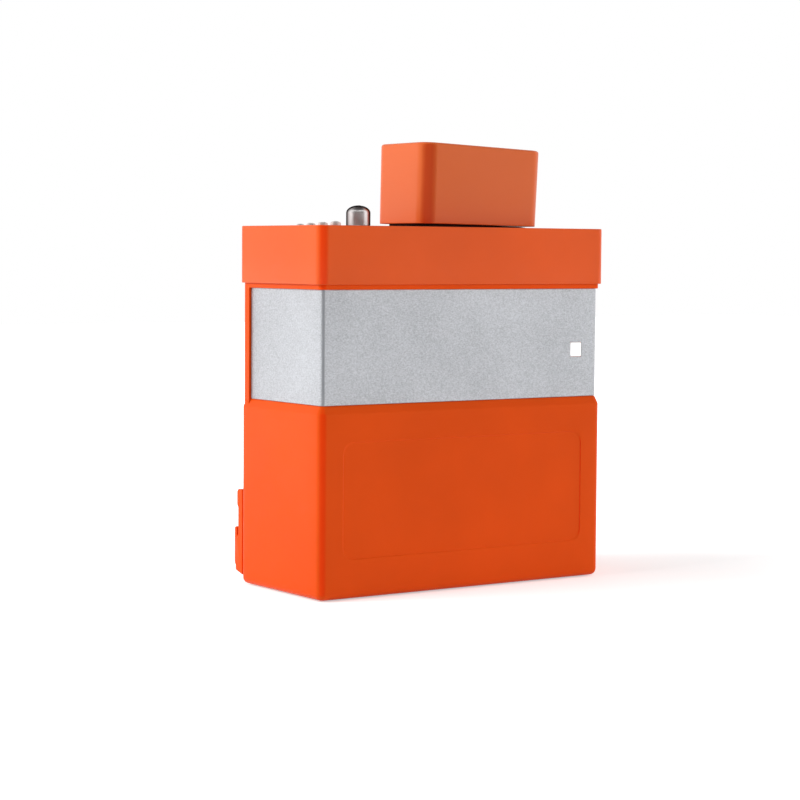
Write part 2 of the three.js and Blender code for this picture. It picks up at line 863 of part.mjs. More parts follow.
/** High-voltage patient relay: a block with its contact posts. */
function makeRelay() {
  const low = shelfTop + gap;
  let relay = box(relayX - 22, relayX + 22, relayY - 16, relayY + 16, low, low + 34);
  for (const sx of [-1, 1])
    for (const sy of [-1, 1])
      relay = relay.add(rod(relayX + sx * 14, relayY + sy * 8, 2.5, low + 33, low + 42, 12));
  return relay;
}

/** Main circuit board standing on the shelf behind the front wall. */
function makeMainBoard() {
  const low = shelfTop + gap;
  const half = boardWidth / 2;
  return box(
    boardX - half, boardX + half, boardY, boardY + boardThickness, low, low + boardHeight,
  );
}

/** Finned heat sink on the main board. */
function makeHeatSink() {
  const x0 = boardX + 4;
  const low = shelfTop + 50;
  const y0 = boardY + boardThickness + gap;
  let sink = box(x0, x0 + 60, y0, y0 + 3, low, low + 50);
  for (let i = 0; i < 7; i++) {
    const x = x0 + i * 9.6;
    sink = sink.add(box(x, x + 2.2, y0 + 2, y0 + 18, low, low + 50));
  }
  return sink;
}

// ---------------------------------------------------------------- rear fittings
/** Round lead socket in the rear wall. */
function makeSocket(index) {
  const x = socketX + index * socketPitch;
  const rear = halfDepth - neckInset;
  return crossRod(x, socketZ, socketRadius, rear - socketDepth, rear + socketProud)
    .add(crossRod(x, socketZ, socketFlange, rear + gap, rear + socketProud))
    .subtract(crossRod(x, socketZ, socketHole, rear - socketHoleDepth, bodyDepth));
}

/** Charger inlet: a rectangular recess in a flanged housing. */
function makeChargerInlet() {
  const slab = (width, height, y0, y1) =>
    box(
      inletX - width / 2, inletX + width / 2, y0, y1,
      inletZ - height / 2, inletZ + height / 2,
    );
  const front = halfDepth - inletRecessDepth - 4;
  const proud = halfDepth + chargerProud;
  return slab(inletBodyWidth - 2 * gap, inletBodyHeight - 2 * gap, front, proud)
    .add(slab(inletFlangeWidth, inletFlangeHeight, halfDepth + gap, proud))
    .subtract(
      slab(inletRecessWidth, inletRecessHeight, halfDepth - inletRecessDepth, bodyDepth),
    );
}

/** Side view of a lead hook: back plate, upper pad, upturned lip and tapered foot. */
function hookShape() {
  const round = 2;
  const pad = hookPlate + hookPad;
  const shape = new THREE.Shape();
  shape.moveTo(0, hookFoot);
  shape.lineTo(hookReach - 4, 12);
  shape.quadraticCurveTo(hookReach, 13.5, hookReach, 17.5);
  shape.lineTo(hookReach, hookLip - round);
  shape.absarc(hookReach - round, hookLip - round, round, 0, Math.PI);
  shape.lineTo(hookSlotEnd, hookSeat + round);
  shape.quadraticCurveTo(hookSlotEnd, hookSeat, hookSlotEnd - round, hookSeat);
  shape.lineTo(hookPlate + round, hookSeat);
  shape.quadraticCurveTo(hookPlate, hookSeat, hookPlate, hookSeat + round);
  shape.lineTo(hookPlate, 64);
  shape.lineTo(pad, 66);
  shape.lineTo(pad, hookPlateTop - round);
  shape.lineTo(hookPlate, hookPlateTop);
  shape.lineTo(0, hookPlateTop);
  return shape;
}

/** Moulded hook for the paddle's lead; its lip is narrower than its back plate. */
function makeHook(side) {
  const geometry = upright(hookShape(), 0, hookWidth);
  // the extrusion's x, y and z become the unit's Y, Z and X
  geometry.rotateX(Math.PI / 2).rotateZ(Math.PI / 2);
  const left = side * (bodyWidth / 2 - hookFromSide - hookWidth / 2) - hookWidth / 2;
  const hook = solid(geometry.translate(left, halfDepth + gap, 0));
  const middle = left + hookWidth / 2;
  const keep = box(
    middle - hookWidth, middle + hookWidth, 0, halfDepth + 11.4, 0, deckTop,
  ).add(
    box(
      middle - hookLipWidth / 2, middle + hookLipWidth / 2, 0, bodyDepth * 2, 0, deckTop,
    ),
  );
  return hook.intersect(keep);
}

// ---------------------------------------------------------------- status light
function makeLens() {
  const half = lensSide / 2;
  const face = -halfDepth + bandInset;
  return box(lensX - half, lensX + half, face, face + 4, lensZ - half, lensZ + half);
}

function makeLamp() {
  const face = -halfDepth + bandInset + 4 + gap;
  return crossRod(lensX, lensZ, 4, face, face + 9, 16);
}

// ---------------------------------------------------------------- assembly
const defibrillator = new THREE.Group();
defibrillator.name = "defibrillator";
// the hooks stand out behind, so the unit moves forward to centre the whole on the origin
const rearReach = halfDepth + gap + hookReach;
const unit = new THREE.Group();
unit.position.y = -(rearReach - (halfDepth + deckOverhang)) / 2;
defibrillator.add(unit);

piece(unit, "case_tub", makeTub(), orange());
piece(unit, "side_band", makeBand(), metal(0xc4c6c9, 0.38));
piece(unit, "deck_cover", makeDeck(), orange());
piece(unit, "deck_gasket", makeGasket(), rubber());
for (const { x, y, name } of pillars)
  piece(unit, "deck_screw_" + name, makeScrew(x, y), metal(0xb9bbbe));
for (const [x, side] of [[-footX, "left"], [footX, "right"]])
  for (const [y, end] of [[-footY, "front"], [footY, "rear"]])
    piece(unit, `foot_${end}_${side}`, makeFoot(x, y), rubber());

piece(unit, "dial_plate", makeDialPlate(), metal(0xd0d2d4, 0.3));
piece(unit, "energy_knob", makeKnob(), metal(0xd8dadc, 0.08));
piece(unit, "knob_shaft", makeShaft(), metal(0xa9a9a6));
piece(unit, "shaft_nut", makeShaftNut(), metal(0xb8a25a));
piece(unit, "rotary_switch", makeRotarySwitch(), plastic(0x3a3a3c));
for (const b of buttons) {
  piece(unit, "button_" + b.name, makeButton(b), metal(0xdcdcdc, 0.12));
  piece(unit, "switch_" + b.name, makePushSwitch(b), plastic(0x2b2d33));
}
piece(unit, "control_board", makeControlBoard(), plastic(0x2c5a38));

// the paddle leans about its right-hand lower edge
const paddle = new THREE.Group();
paddle.position.set(paddleLeft + paddleWidth, paddleY, deckTop + paddleLift);
paddle.rotation.y = paddleLean;
unit.add(paddle);
const paddleMiddle = new THREE.Group();
paddleMiddle.position.x = -paddleWidth / 2;
paddle.add(paddleMiddle);
piece(paddleMiddle, "paddle_shell", makePaddleShell(), orange());
piece(paddleMiddle, "paddle_base", makePaddleBase(), black());
piece(paddleMiddle, "paddle_electrode", makePaddleElectrode(), metal(0xc8cacc, 0.25));
piece(paddleMiddle, "paddle_button", makeThumbButton(), plastic(0x24211f));
piece(paddleMiddle, "paddle_switch", makeThumbSwitch(), plastic(0x2b2d33));
piece(paddleMiddle, "paddle_lead_bush", makeLeadBush(), rubber());
piece(unit, "paddle_rest_pad", makeRestPad(), rubber());
piece(paddleMiddle, "test_contact_leaf", makeContactLeaf(), metal(0xc9b26a));

piece(unit, "back_electrode_holder", makeBackHolder(), black());
piece(unit, "back_electrode_plate", makeBackPlate(), metal(0xc8cacc, 0.25));
piece(unit, "electrode_sleeve", makeSleeve(), plastic(0x6c6c6c));

piece(unit, "battery_pack", makeBattery(), black());
piece(unit, "battery_bay", makeBay(), plastic(0x55575a));
piece(unit, "bay_contact_minus", makeBayContact(-1), metal(0xc9a94f));
piece(unit, "bay_contact_plus", makeBayContact(1), metal(0xc9a94f));

piece(unit, "chassis_shelf", makeShelf(), metal(0xb5b7b9, 0.45));
piece(unit, "storage_capacitor", makeCapacitor(), metal(0x9ea3a8, 0.4));
piece(unit, "capacitor_clamp", makeClamp(), metal(0xb5b7b9, 0.45));
piece(unit, "discharge_inductor", makeInductor(), plastic(0x8a4a1e, 0.6));
piece(unit, "inductor_plug", makeInductorPlug(), black());
piece(unit, "transformer_core", makeCore(), metal(0x5a5c60, 0.6));
piece(unit, "transformer_winding", makeWinding(), plastic(0xa86a2a, 0.5));
piece(unit, "patient_relay", makeRelay(), plastic(0x2b3a55));
piece(unit, "main_board", makeMainBoard(), plastic(0x2c5a38));
piece(unit, "heat_sink", makeHeatSink(), metal(0x3a3c40, 0.5));

piece(unit, "paddle_socket", makeSocket(0), black());
piece(unit, "back_electrode_socket", makeSocket(1), black());
piece(unit, "charger_inlet", makeChargerInlet(), black());
piece(unit, "lead_hook_left", makeHook(-1), orange());
piece(unit, "lead_hook_right", makeHook(1), orange());
piece(unit, "status_lens", makeLens(), plastic(0xf2f2f0, 0.2));
piece(unit, "status_lamp", makeLamp(), plastic(0xd8d8d4, 0.4));

export default defibrillator;
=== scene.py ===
import math

import bmesh
import bpy
import numpy as np
from mathutils import Matrix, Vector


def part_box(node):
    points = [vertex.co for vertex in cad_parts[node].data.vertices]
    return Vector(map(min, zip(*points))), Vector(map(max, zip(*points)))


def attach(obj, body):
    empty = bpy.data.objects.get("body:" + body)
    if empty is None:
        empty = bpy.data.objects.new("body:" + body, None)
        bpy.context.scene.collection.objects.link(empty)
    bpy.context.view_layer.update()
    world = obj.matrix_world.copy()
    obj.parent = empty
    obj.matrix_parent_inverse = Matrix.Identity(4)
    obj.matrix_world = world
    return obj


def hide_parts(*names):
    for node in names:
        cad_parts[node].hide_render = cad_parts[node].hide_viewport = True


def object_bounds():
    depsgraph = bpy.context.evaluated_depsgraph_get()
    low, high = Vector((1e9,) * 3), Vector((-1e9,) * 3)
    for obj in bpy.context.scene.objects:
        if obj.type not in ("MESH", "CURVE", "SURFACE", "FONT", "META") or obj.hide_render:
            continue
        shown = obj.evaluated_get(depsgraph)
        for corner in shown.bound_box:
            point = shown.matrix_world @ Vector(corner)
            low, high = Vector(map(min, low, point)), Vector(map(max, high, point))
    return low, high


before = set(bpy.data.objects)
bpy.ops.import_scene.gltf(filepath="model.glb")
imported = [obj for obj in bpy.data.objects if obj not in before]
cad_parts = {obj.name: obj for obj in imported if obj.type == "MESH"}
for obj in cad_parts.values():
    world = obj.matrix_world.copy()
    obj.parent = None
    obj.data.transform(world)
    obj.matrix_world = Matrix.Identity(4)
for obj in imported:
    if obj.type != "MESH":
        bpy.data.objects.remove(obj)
cad_box = [list(corner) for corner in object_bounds()]
scene = bpy.context.scene
scene.view_settings.view_transform = "Standard"
MM = 0.001
WHITE = (1, 1, 1, 1)

# ---------------- the table, the light and the camera
# The unit stands on a plain white table. A softbox hangs high on the left, upright panels stand
# behind on the left and in front on the right, and a strip stands on the right. Two dark cards,
# which only gloss sees, are the gaps between the lights.
TABLE_HALF = 6.0
TABLE_WHITE = (0.93, 0.93, 0.93, 1)
GLOW_NEAR, GLOW_FAR = 0.45, 1.0  # the table's own glow beside the unit and away from it
GLOW_FROM, GLOW_TO = 0.3, 1.1  # and how far away each holds, in metres
ROOM_LEVEL = 0.22  # light that the white room gives to matt surfaces
SHIFT_Y = cad_box[0][1] / MM + 63.5  # the case's middle stands this far from the whole part's


def fill(node, values):
    """Sets inputs of a node, by name or number, to a value or to another node's output socket."""
    for entry, value in values.items():
        if isinstance(value, bpy.types.NodeSocket):
            node.id_data.links.new(value, node.inputs[entry])
        else:
            node.inputs[entry].default_value = value


def add(tree, kind, values=None, **settings):
    """New shader node of a kind, with its settings and the values of its inputs."""
    node = tree.nodes.new("ShaderNode" + kind)
    for setting, value in settings.items():
        setattr(node, setting, value)
    fill(node, values or {})
    return node


def where(tree):
    """Object coordinates."""
    return add(tree, "TexCoord").outputs["Object"]


def spread(tree, value, low, high, to_low=0.0, to_high=1.0):
    """The value carried from the range low to high onto the range to_low to to_high."""
    span = {"Value": value, "From Min": low, "From Max": high, "To Min": to_low, "To Max": to_high}
    return add(tree, "MapRange", span).outputs["Result"]


def worked(tree, operation, *values):
    """Result of a Math node on its values, in their order."""
    return add(tree, "Math", dict(enumerate(values)), operation=operation).outputs["Value"]


def new_material(name):
    """New material, its node tree and its Principled shader."""
    material = bpy.data.materials.new(name)
    material.use_nodes = True
    return material, material.node_tree, material.node_tree.nodes["Principled BSDF"]


def put_mesh(name, points, faces, material, flat_angle=30, seat=None):
    """Mesh object from a point array in millimetres and a list of faces, smooth up to flat_angle.
    seat, if given, carries the points from a piece's own frame to the case's."""
    places = np.asarray(points, float).reshape(-1, 3)
    if seat:
        places = seat(places)
    mesh = bpy.data.meshes.new(name)
    mesh.from_pydata(((places + (0, SHIFT_Y, 0)) * MM).tolist(), [], faces)
    mesh.polygons.foreach_set("use_smooth", [True] * len(mesh.polygons))
    made = bpy.data.objects.new(name, mesh)
    scene.collection.objects.link(made)
    mesh.materials.append(material)
    tidy_mesh(made, flat_angle)
    return made


def tidy_mesh(made, flat_angle):
    """Merges coincident points, drops faces without area and marks edges sharper than flat_angle."""
    edit = bmesh.new()
    edit.from_mesh(made.data)
    bmesh.ops.remove_doubles(edit, verts=edit.verts, dist=1e-6)
    bmesh.ops.dissolve_degenerate(edit, dist=1e-7, edges=edit.edges)
    bmesh.ops.recalc_face_normals(edit, faces=edit.faces)
    edit.to_mesh(made.data)
    edit.free()
    made.data.set_sharp_from_angle(angle=math.radians(flat_angle))


def table_material():
    """White table that reads as pure white to the camera and keeps the unit's shadow."""
    material, tree, shader = new_material("white_table")
    rays = add(tree, "LightPath").outputs
    seen = worked(tree, "MAXIMUM", rays["Is Camera Ray"], rays["Is Glossy Ray"])
    reach = add(tree, "VectorMath", {"Vector": where(tree)}, operation="LENGTH").outputs["Value"]
    glow = spread(tree, reach, GLOW_FROM, GLOW_TO, GLOW_NEAR, GLOW_FAR)
    fill(shader, {
        "Base Color": TABLE_WHITE,
        "Roughness": 0.9,
        "Specular IOR Level": 0.1,
        "Emission Color": WHITE,
        "Emission Strength": worked(tree, "MULTIPLY", seen, glow),
    })
    return material


corners = np.array([[-1, -1, 0], [1, -1, 0], [1, 1, 0], [-1, 1, 0]]) * TABLE_HALF / MM
table = put_mesh("table_top", corners, [(0, 1, 2, 3)], table_material())

world = bpy.data.worlds.new("studio")
scene.world = world
world.use_nodes = True
sky = world.node_tree
room = sky.nodes["Background"]
rays = add(sky, "LightPath").outputs
seen = worked(sky, "MAXIMUM", rays["Is Camera Ray"], rays["Is Glossy Ray"])
seen = worked(sky, "MAXIMUM", seen, rays["Is Transmission Ray"])
fill(room, {"Color": WHITE, "Strength": spread(sky, seen, 0, 1, ROOM_LEVEL, 1)})


def softbox(name, place, aim, width, height, watts):
    """Area light at place, facing aim, hidden from the camera and from gloss."""
    lamp = bpy.data.lights.new(name, "AREA")
    lamp.shape = "RECTANGLE"
    lamp.size = width
    lamp.size_y = height
    lamp.energy = watts
    holder = bpy.data.objects.new(name, lamp)
    scene.collection.objects.link(holder)
    back = np.subtract(place, aim) / np.linalg.norm(np.subtract(place, aim))
    side = np.cross((0, 0, 1), back)
    side /= np.linalg.norm(side)
    turn = np.column_stack([side, np.cross(back, side), back])
    holder.matrix_world = Matrix.Translation(place) @ Matrix(turn.tolist()).to_4x4()
    holder.visible_camera = False
    holder.visible_glossy = False


def flag(name, points, faces, level):
    """Card that only gloss sees, of one brightness: the gap between the lights."""
    material, _, shader = new_material(name)
    fill(shader, {"Base Color": (0, 0, 0, 1), "Specular IOR Level": 0})
    fill(shader, {"Emission Color": WHITE, "Emission Strength": level})
    card = put_mesh(name, np.asarray(points) / MM, faces, material)
    card.visible_camera = False
    card.visible_diffuse = False
    card.visible_shadow = False
    card.visible_transmission = False


CARD_FROM, CARD_TO, CARD_REACH, CARD_HIGH = -24, 88, 3.2, 2.6
turns = np.radians(np.linspace(CARD_FROM, CARD_TO, 25))
base = np.column_stack([-np.sin(turns), -np.cos(turns)]) * CARD_REACH
rows = np.concatenate([np.column_stack([base, np.full(25, z)]) for z in (0.02, CARD_HIGH)])
flag("upright_flag", rows, [(i, i + 1, 26 + i, 25 + i) for i in range(24)], 0.13)
ROOF_HALF, ROOF_HIGH = 1.4, 2.5
roof = np.array([[-1, -1, 0], [1, -1, 0], [1, 1, 0], [-1, 1, 0]]) * ROOF_HALF
flag("roof_flag", roof + (0, 0, ROOF_HIGH), [(0, 1, 2, 3)], 0.04)
MIDDLE = (0, 0, 0.17)
softbox("key_high_left", (-3.0, 0.6, 1.9), MIDDLE, 1.8, 1.8, 96)
softbox("panel_rear_left", (-2.2, 2.4, 0.7), MIDDLE, 2.0, 2.0, 46)
softbox("panel_front_right", (1.9, -2.6, 1.0), MIDDLE, 1.6, 1.6, 51)
softbox("strip_right", (3.0, -0.2, 0.8), MIDDLE, 0.8, 2.0, 26)

# long lens at deck height, a little left of the front-left corner
VIEW_AZIMUTH = math.radians(34.64)
VIEW_PITCH = math.radians(3.81)
VIEW_ROLL = math.radians(0.38)
VIEW_PLACE = (-1.0864, -1.5463, 0.2791)
LENS_MM = 99.93


def view_matrix():
    """Camera axes from azimuth, pitch and roll: right, up and backwards as columns."""
    ahead = np.array([
        math.sin(VIEW_AZIMUTH) * math.cos(VIEW_PITCH),
        math.cos(VIEW_AZIMUTH) * math.cos(VIEW_PITCH),
        -math.sin(VIEW_PITCH),
    ])
    right = np.array([math.cos(VIEW_AZIMUTH), -math.sin(VIEW_AZIMUTH), 0])
    up = np.cross(right, ahead)
    c, s = math.cos(VIEW_ROLL), math.sin(VIEW_ROLL)
    turn = np.column_stack([right * c + up * s, up * c - right * s, -ahead])
    return Matrix.Translation(VIEW_PLACE) @ Matrix(turn.tolist()).to_4x4()


camera = bpy.data.objects.new("camera", bpy.data.cameras.new("camera"))
scene.collection.objects.link(camera)
camera.data.lens = LENS_MM
camera.matrix_world = view_matrix()
scene.camera = camera

# ---------------- case tub
# One deep injection moulding in orange ABS with a satin skin: the lower body with a shallow field
# on its front, a bevelled shoulder, the recess that the silver band lies in, and the rim inside
# the deck cover. The band stops short of an upright strip at the rear.
BODY_W, BODY_D, BODY_R = 287.0, 124.0, 6.5
BASE_Z, BASE_ROUND = 1.0, 5.5
SHOULDER_LOW, SHOULDER_TOP = 150.2, 156.5
BAND_TOP, RIM_TOP = 249.0, 262.0
WALL, NECK, BAND_IN, BAND_SEAT = 6.4, 1.0, 3.0, 4.3
STRIP_Y = BODY_D / 2 - 12
FLOOR_Z = 6.0
FIELD_W, FIELD_LOW, FIELD_HIGH, FIELD_R, FIELD_DEEP = 243.0, 33.0, 127.0, 10.0, 0.6
# The second orange is the case seen square on, deeper and redder; towards a slant it turns to the
# first, a painted sheen, so the near corner keeps the deeper red.
ORANGE, ORANGE_NO_SHEEN = (0.81, 0.084, 0.0065, 1), (0.88, 0.054, 0.002, 1)


def new_group(name, inputs, outputs):
    """Empty node group with its sockets, each a name and a kind, its entry and its exit."""
    group = bpy.data.node_groups.new(name, "ShaderNodeTree")
    for way, sockets in (("INPUT", inputs), ("OUTPUT", outputs)):
        for socket, kind in sockets.items():
            group.interface.new_socket(socket, in_out=way, socket_type="NodeSocket" + kind)
    return group, group.nodes.new("NodeGroupInput").outputs, group.nodes.new("NodeGroupOutput")


def noise(tree, place, scale, detail, roughness=0.5):
    """Noise value at a place."""
    grain = {"Vector": place, "Scale": scale, "Detail": detail, "Roughness": roughness}
    return add(tree, "TexNoise", grain).outputs["Fac"]


def rubbed(group, entry, spots):
    """Roughness of a group: its rubbed spots, spread between the group's low and high."""
    return spread(group, spots, 0.3, 0.7, entry["Roughness Low"], entry["Roughness High"])


def bumps(tree, height, strength, distance=0.001):
    """Normal of a bumpy surface from its height."""
    rise = {"Height": height, "Strength": strength, "Distance": distance}
    return add(tree, "Bump", rise).outputs["Normal"]


def mixed(tree, share, first, second, way="MIX"):
    """Mix of two colours: the first at share 0, the second, in the given way, at share 1."""
    tones = {"Factor": share, "A": first, "B": second}
    return add(tree, "Mix", tones, data_type="RGBA", blend_type=way).outputs["Result"]


ROUGHNESS_RANGE = {"Roughness Low": "Float", "Roughness High": "Float"}
SHEEN_FACING = (0.02, 0.14)  # facing at which moulded plastic turns from its square-on colour to its painted sheen
EDGE_ON = (0.28, 0.66)  # facing at which plating takes on the reflection painted for it along the surface
SQUARE_ON = (0.01, 0.1)  # facing at which drawn metal leaves the darker reflection painted for it square on


def moulded_skin_group():
    """Shared skin of moulded plastic: a fine orange-peel height, slow tone drift and rubbed spots."""
    group, entry, leave = new_group(
        "moulded_skin",
        {"Grain Size": "Float"} | ROUGHNESS_RANGE,
        {"Height": "Float", "Tone": "Float", "Roughness": "Float"},
    )
    place = where(group)
    fill(leave, {
        "Height": noise(group, place, entry["Grain Size"], 3),
        "Tone": noise(group, place, 9, 4),
        "Roughness": rubbed(group, entry, noise(group, place, 45, 6, 0.7)),
    })
    return group


MOULDED_SKIN = moulded_skin_group()


def painted_reflection_group():
    """Shared painted sheen and reflection: a change of colour with the angle of sight, from Square On
    at Low to Along at High.
    """
    group, entry, leave = new_group(
        "painted_reflection",
        {"Facing": "Float", "Low": "Float", "High": "Float", "Square On": "Color", "Along": "Color"},
        {"Colour": "Color"},
    )
    share = spread(group, entry["Facing"], entry["Low"], entry["High"])
    fill(leave, {"Colour": mixed(group, share, entry["Square On"], entry["Along"])})
    return group


PAINTED_REFLECTION = painted_reflection_group()


def by_angle(tree, square_on, along, low, high):
    """Painted sheen and reflection: a mix of two colours by the angle of sight, square_on up to facing
    low, along from facing high.
    Each is a colour or the output socket that gives it; facing is 0 square on and 1 edge on."""
    tones = {"Square On": square_on, "Along": along, "Low": low, "High": high}
    tones["Facing"] = add(tree, "LayerWeight").outputs["Facing"]
    return add(tree, "Group", tones, node_tree=PAINTED_REFLECTION).outputs["Colour"]


def moulded(name, colour, rough=(0.3, 0.4), grain=900, bump=0.03, shade=0.9, gloss=0.5, deep=None):
    """Moulded plastic or rubber of one colour with the shared skin; shade darkens the drift's lows.
    deep, if given, is the colour seen square on; towards a slant it turns to colour, a painted sheen."""
    material, tree, shader = new_material(name)
    worn = {"Grain Size": grain, "Roughness Low": rough[0], "Roughness High": rough[1]}
    skin = add(tree, "Group", worn, node_tree=MOULDED_SKIN).outputs
    seen = by_angle(tree, deep, colour, *SHEEN_FACING) if deep else colour
    lows = spread(tree, skin["Tone"], 0.65, 0.35)
    fill(shader, {
        "Base Color": mixed(tree, lows, seen, (shade, shade, shade, 1), "MULTIPLY"),
        "Roughness": skin["Roughness"],
        "Specular IOR Level": gloss,
        "Normal": bumps(tree, skin["Height"], bump),
    })
    return material


ORANGE_ABS = moulded("orange_abs", ORANGE, gloss=0.07, deep=ORANGE_NO_SHEEN)


def ring_stations(xs, ys, arc):
    """Stations round a rounded rectangle, counter-clockwise from the front-left.
    Each has a fixed part and a share of the half size for its arc centre, and an outward normal."""
    rows = []
    for x in xs:
        rows.append((x, 0, 0, -1, 0, -1))
    quarter = np.linspace(0, math.pi / 2, arc + 1)
    for turn, sx, sy in ((-math.pi / 2, 1, -1), (0, 1, 1), (math.pi / 2, -1, 1), (math.pi, -1, -1)):
        for angle in turn + quarter:
            rows.append((0, sx, 0, sy, math.cos(angle), math.sin(angle)))
        if sx == 1 and sy == -1:
            rows += [(0, 1, y, 0, 1, 0) for y in ys]
        elif sx == 1:
            rows += [(x, 0, 0, 1, 0, 1) for x in reversed(xs)]
        elif sy == 1:
            rows += [(0, -1, y, 0, -1, 0) for y in reversed(ys)]
    return np.array(rows, float)


def rounded_rings(stations, inset, width, depth, radius, least=1.5):
    """Plan points of the stations: the arc centre, moved in by inset, plus the corner radius times
    the normal. inset holds one row per ring and one column per station."""
    fixed_x, share_x, fixed_y, share_y, normal_x, normal_y = stations.T
    corner = np.maximum(radius - inset, least)
    reach = inset + corner
    x = fixed_x + share_x * (width / 2 - reach) + corner * normal_x
    y = fixed_y + share_y * (depth / 2 - reach) + corner * normal_y
    return x, y


def shell_faces(rows, cols, keep, wrap, cap):
    """Faces of a shell made of an outer and an inner grid of points (rows x cols each): the kept
    cells of both, a wall wherever a kept cell ends, and a lid on the last row if cap is set."""
    count = rows * cols
    index = np.arange(count).reshape(rows, cols)
    ahead = np.roll(index, -1, axis=1)
    span = cols if wrap else cols - 1
    a, b = index[:-1, :span], ahead[:-1, :span]
    c, d = ahead[1:, :span], index[1:, :span]
    outer = np.stack([a, d, c, b], -1)[keep]
    inner = np.stack([a, b, c, d], -1)[keep] + count
    walls = []

    def wall(start, end):
        walls.append(np.stack([start, end, end + count, start + count], -1))

    padded = np.pad(keep, ((1, 1), (0, 0)))
    opens = padded[1:] & ~padded[:-1]
    tops = index[:, :span]
    wall(tops[opens], ahead[:, :span][opens])
    closes = ~padded[1:] & padded[:-1]
    if cap:
        closes[-1] = False
    wall(ahead[:, :span][closes], tops[closes])
    before = np.roll(keep, 1, axis=1) if wrap else np.pad(keep, ((0, 0), (1, 0)))[:, :-1]
    starts = keep & ~before
    wall(index[1:, :span][starts], index[:-1, :span][starts])
    if wrap:
        ends = ~keep & before
        wall(index[:-1, :span][ends], index[1:, :span][ends])
    else:
        after = np.pad(keep, ((0, 0), (0, 1)))[:, 1:]
        ends = keep & ~after
        wall(ahead[:-1, :span][ends], ahead[1:, :span][ends])
    faces = np.concatenate([outer, inner] + walls).tolist()
    if cap:
        faces.append(index[-1].tolist())
        faces.append((index[-1] + count)[::-1].tolist())
    return faces


def open_cells(firsts, seconds, holes):
    """Mask of grid cells outside every hole; a hole is (first low, high, second low, high)."""
    keep = np.ones((len(firsts), len(seconds)), bool)
    for low_a, high_a, low_b, high_b in holes:
        inside = np.outer((firsts > low_a) & (firsts < high_a), (seconds > low_b) & (seconds < high_b))
        keep &= ~inside
    return keep


def eased_step(distance, half):
    """0 outside, 1 inside, with a smooth ramp of half width `half` on each side of the line."""
    t = np.clip(0.5 - distance / (2 * half), 0, 1)
    return t * t * (3 - 2 * t)


def field_distance(x, z):
    """Signed distance to the front field's outline, a rectangle with round corners."""
    dx = np.abs(x) - (FIELD_W / 2 - FIELD_R)
    dz = np.abs(z - (FIELD_LOW + FIELD_HIGH) / 2) - ((FIELD_HIGH - FIELD_LOW) / 2 - FIELD_R)
    outside = np.hypot(np.maximum(dx, 0), np.maximum(dz, 0))
    return outside + np.minimum(np.maximum(dx, dz), 0) - FIELD_R


def dense(*places, span=1.2, step=0.4):
    """Closely spaced stations round each place."""
    offsets = np.arange(-span, span + step / 2, step)
    return [p + o for p in places for o in offsets]


SOCKETS = [(-95.0, 196.0), (-61.0, 196.0)]
SOCKET_HALF = 9.2
INLET = (88.0, 112.0, 109.0, 127.0)
BATTERY_MOUTH = (14.7, 113.3, 8.7, 67.3)
REAR_HOLES = [BATTERY_MOUTH, INLET] + [
    (x - SOCKET_HALF, x + SOCKET_HALF, z - SOCKET_HALF, z + SOCKET_HALF) for x, z in SOCKETS
]
LENS_X, LENS_Z, LENS_HALF = 117.5, 197.0, 6.3
LENS_HOLE = (LENS_X - LENS_HALF, LENS_X + LENS_HALF, LENS_Z - LENS_HALF, LENS_Z + LENS_HALF)


def tub_rows():
    """Profile of the tub's outside from rim to base as [inset, z] rows."""
    rows = [[5.9, RIM_TOP], [1.5, RIM_TOP], [NECK, RIM_TOP - 0.5]]
    rows += [[NECK, BAND_TOP + 0.3], [NECK + 0.3, BAND_TOP], [BAND_SEAT, BAND_TOP]]
    marks = sorted({z for hole in REAR_HOLES[2:] for z in hole[2:]} | set(LENS_HOLE[2:]))
    rows += [[BAND_SEAT, z] for z in reversed(marks)]
    rows += [[BAND_SEAT, SHOULDER_TOP], [BAND_IN + 0.25, SHOULDER_TOP], [BAND_IN - 0.1, 156.1]]
    slope = BAND_IN / (SHOULDER_TOP - SHOULDER_LOW)
    rows += [[(z - SHOULDER_LOW) * slope, z] for z in (154, NECK / slope + SHOULDER_LOW, 150.9)]
    rows += [[0.08, 150.2], [0, 149.4]]
    body = dense(FIELD_LOW, FIELD_HIGH) + list(np.arange(FIELD_LOW + 2, FIELD_LOW + 11, 1.0))
    body += list(np.arange(FIELD_HIGH - 10, FIELD_HIGH - 1.5, 1.0)) + [8.7, 67.3, 109, 127, 50, 90]
    rows += [[0, z] for z in sorted(set(np.round(body, 3)), reverse=True)]
    turn = np.linspace(0, math.pi / 2, 9)
    rows += [
        [BASE_ROUND * (1 - math.cos(t)), BASE_Z + BASE_ROUND * (1 - math.sin(t))] for t in turn
    ]
    return np.array(rows)


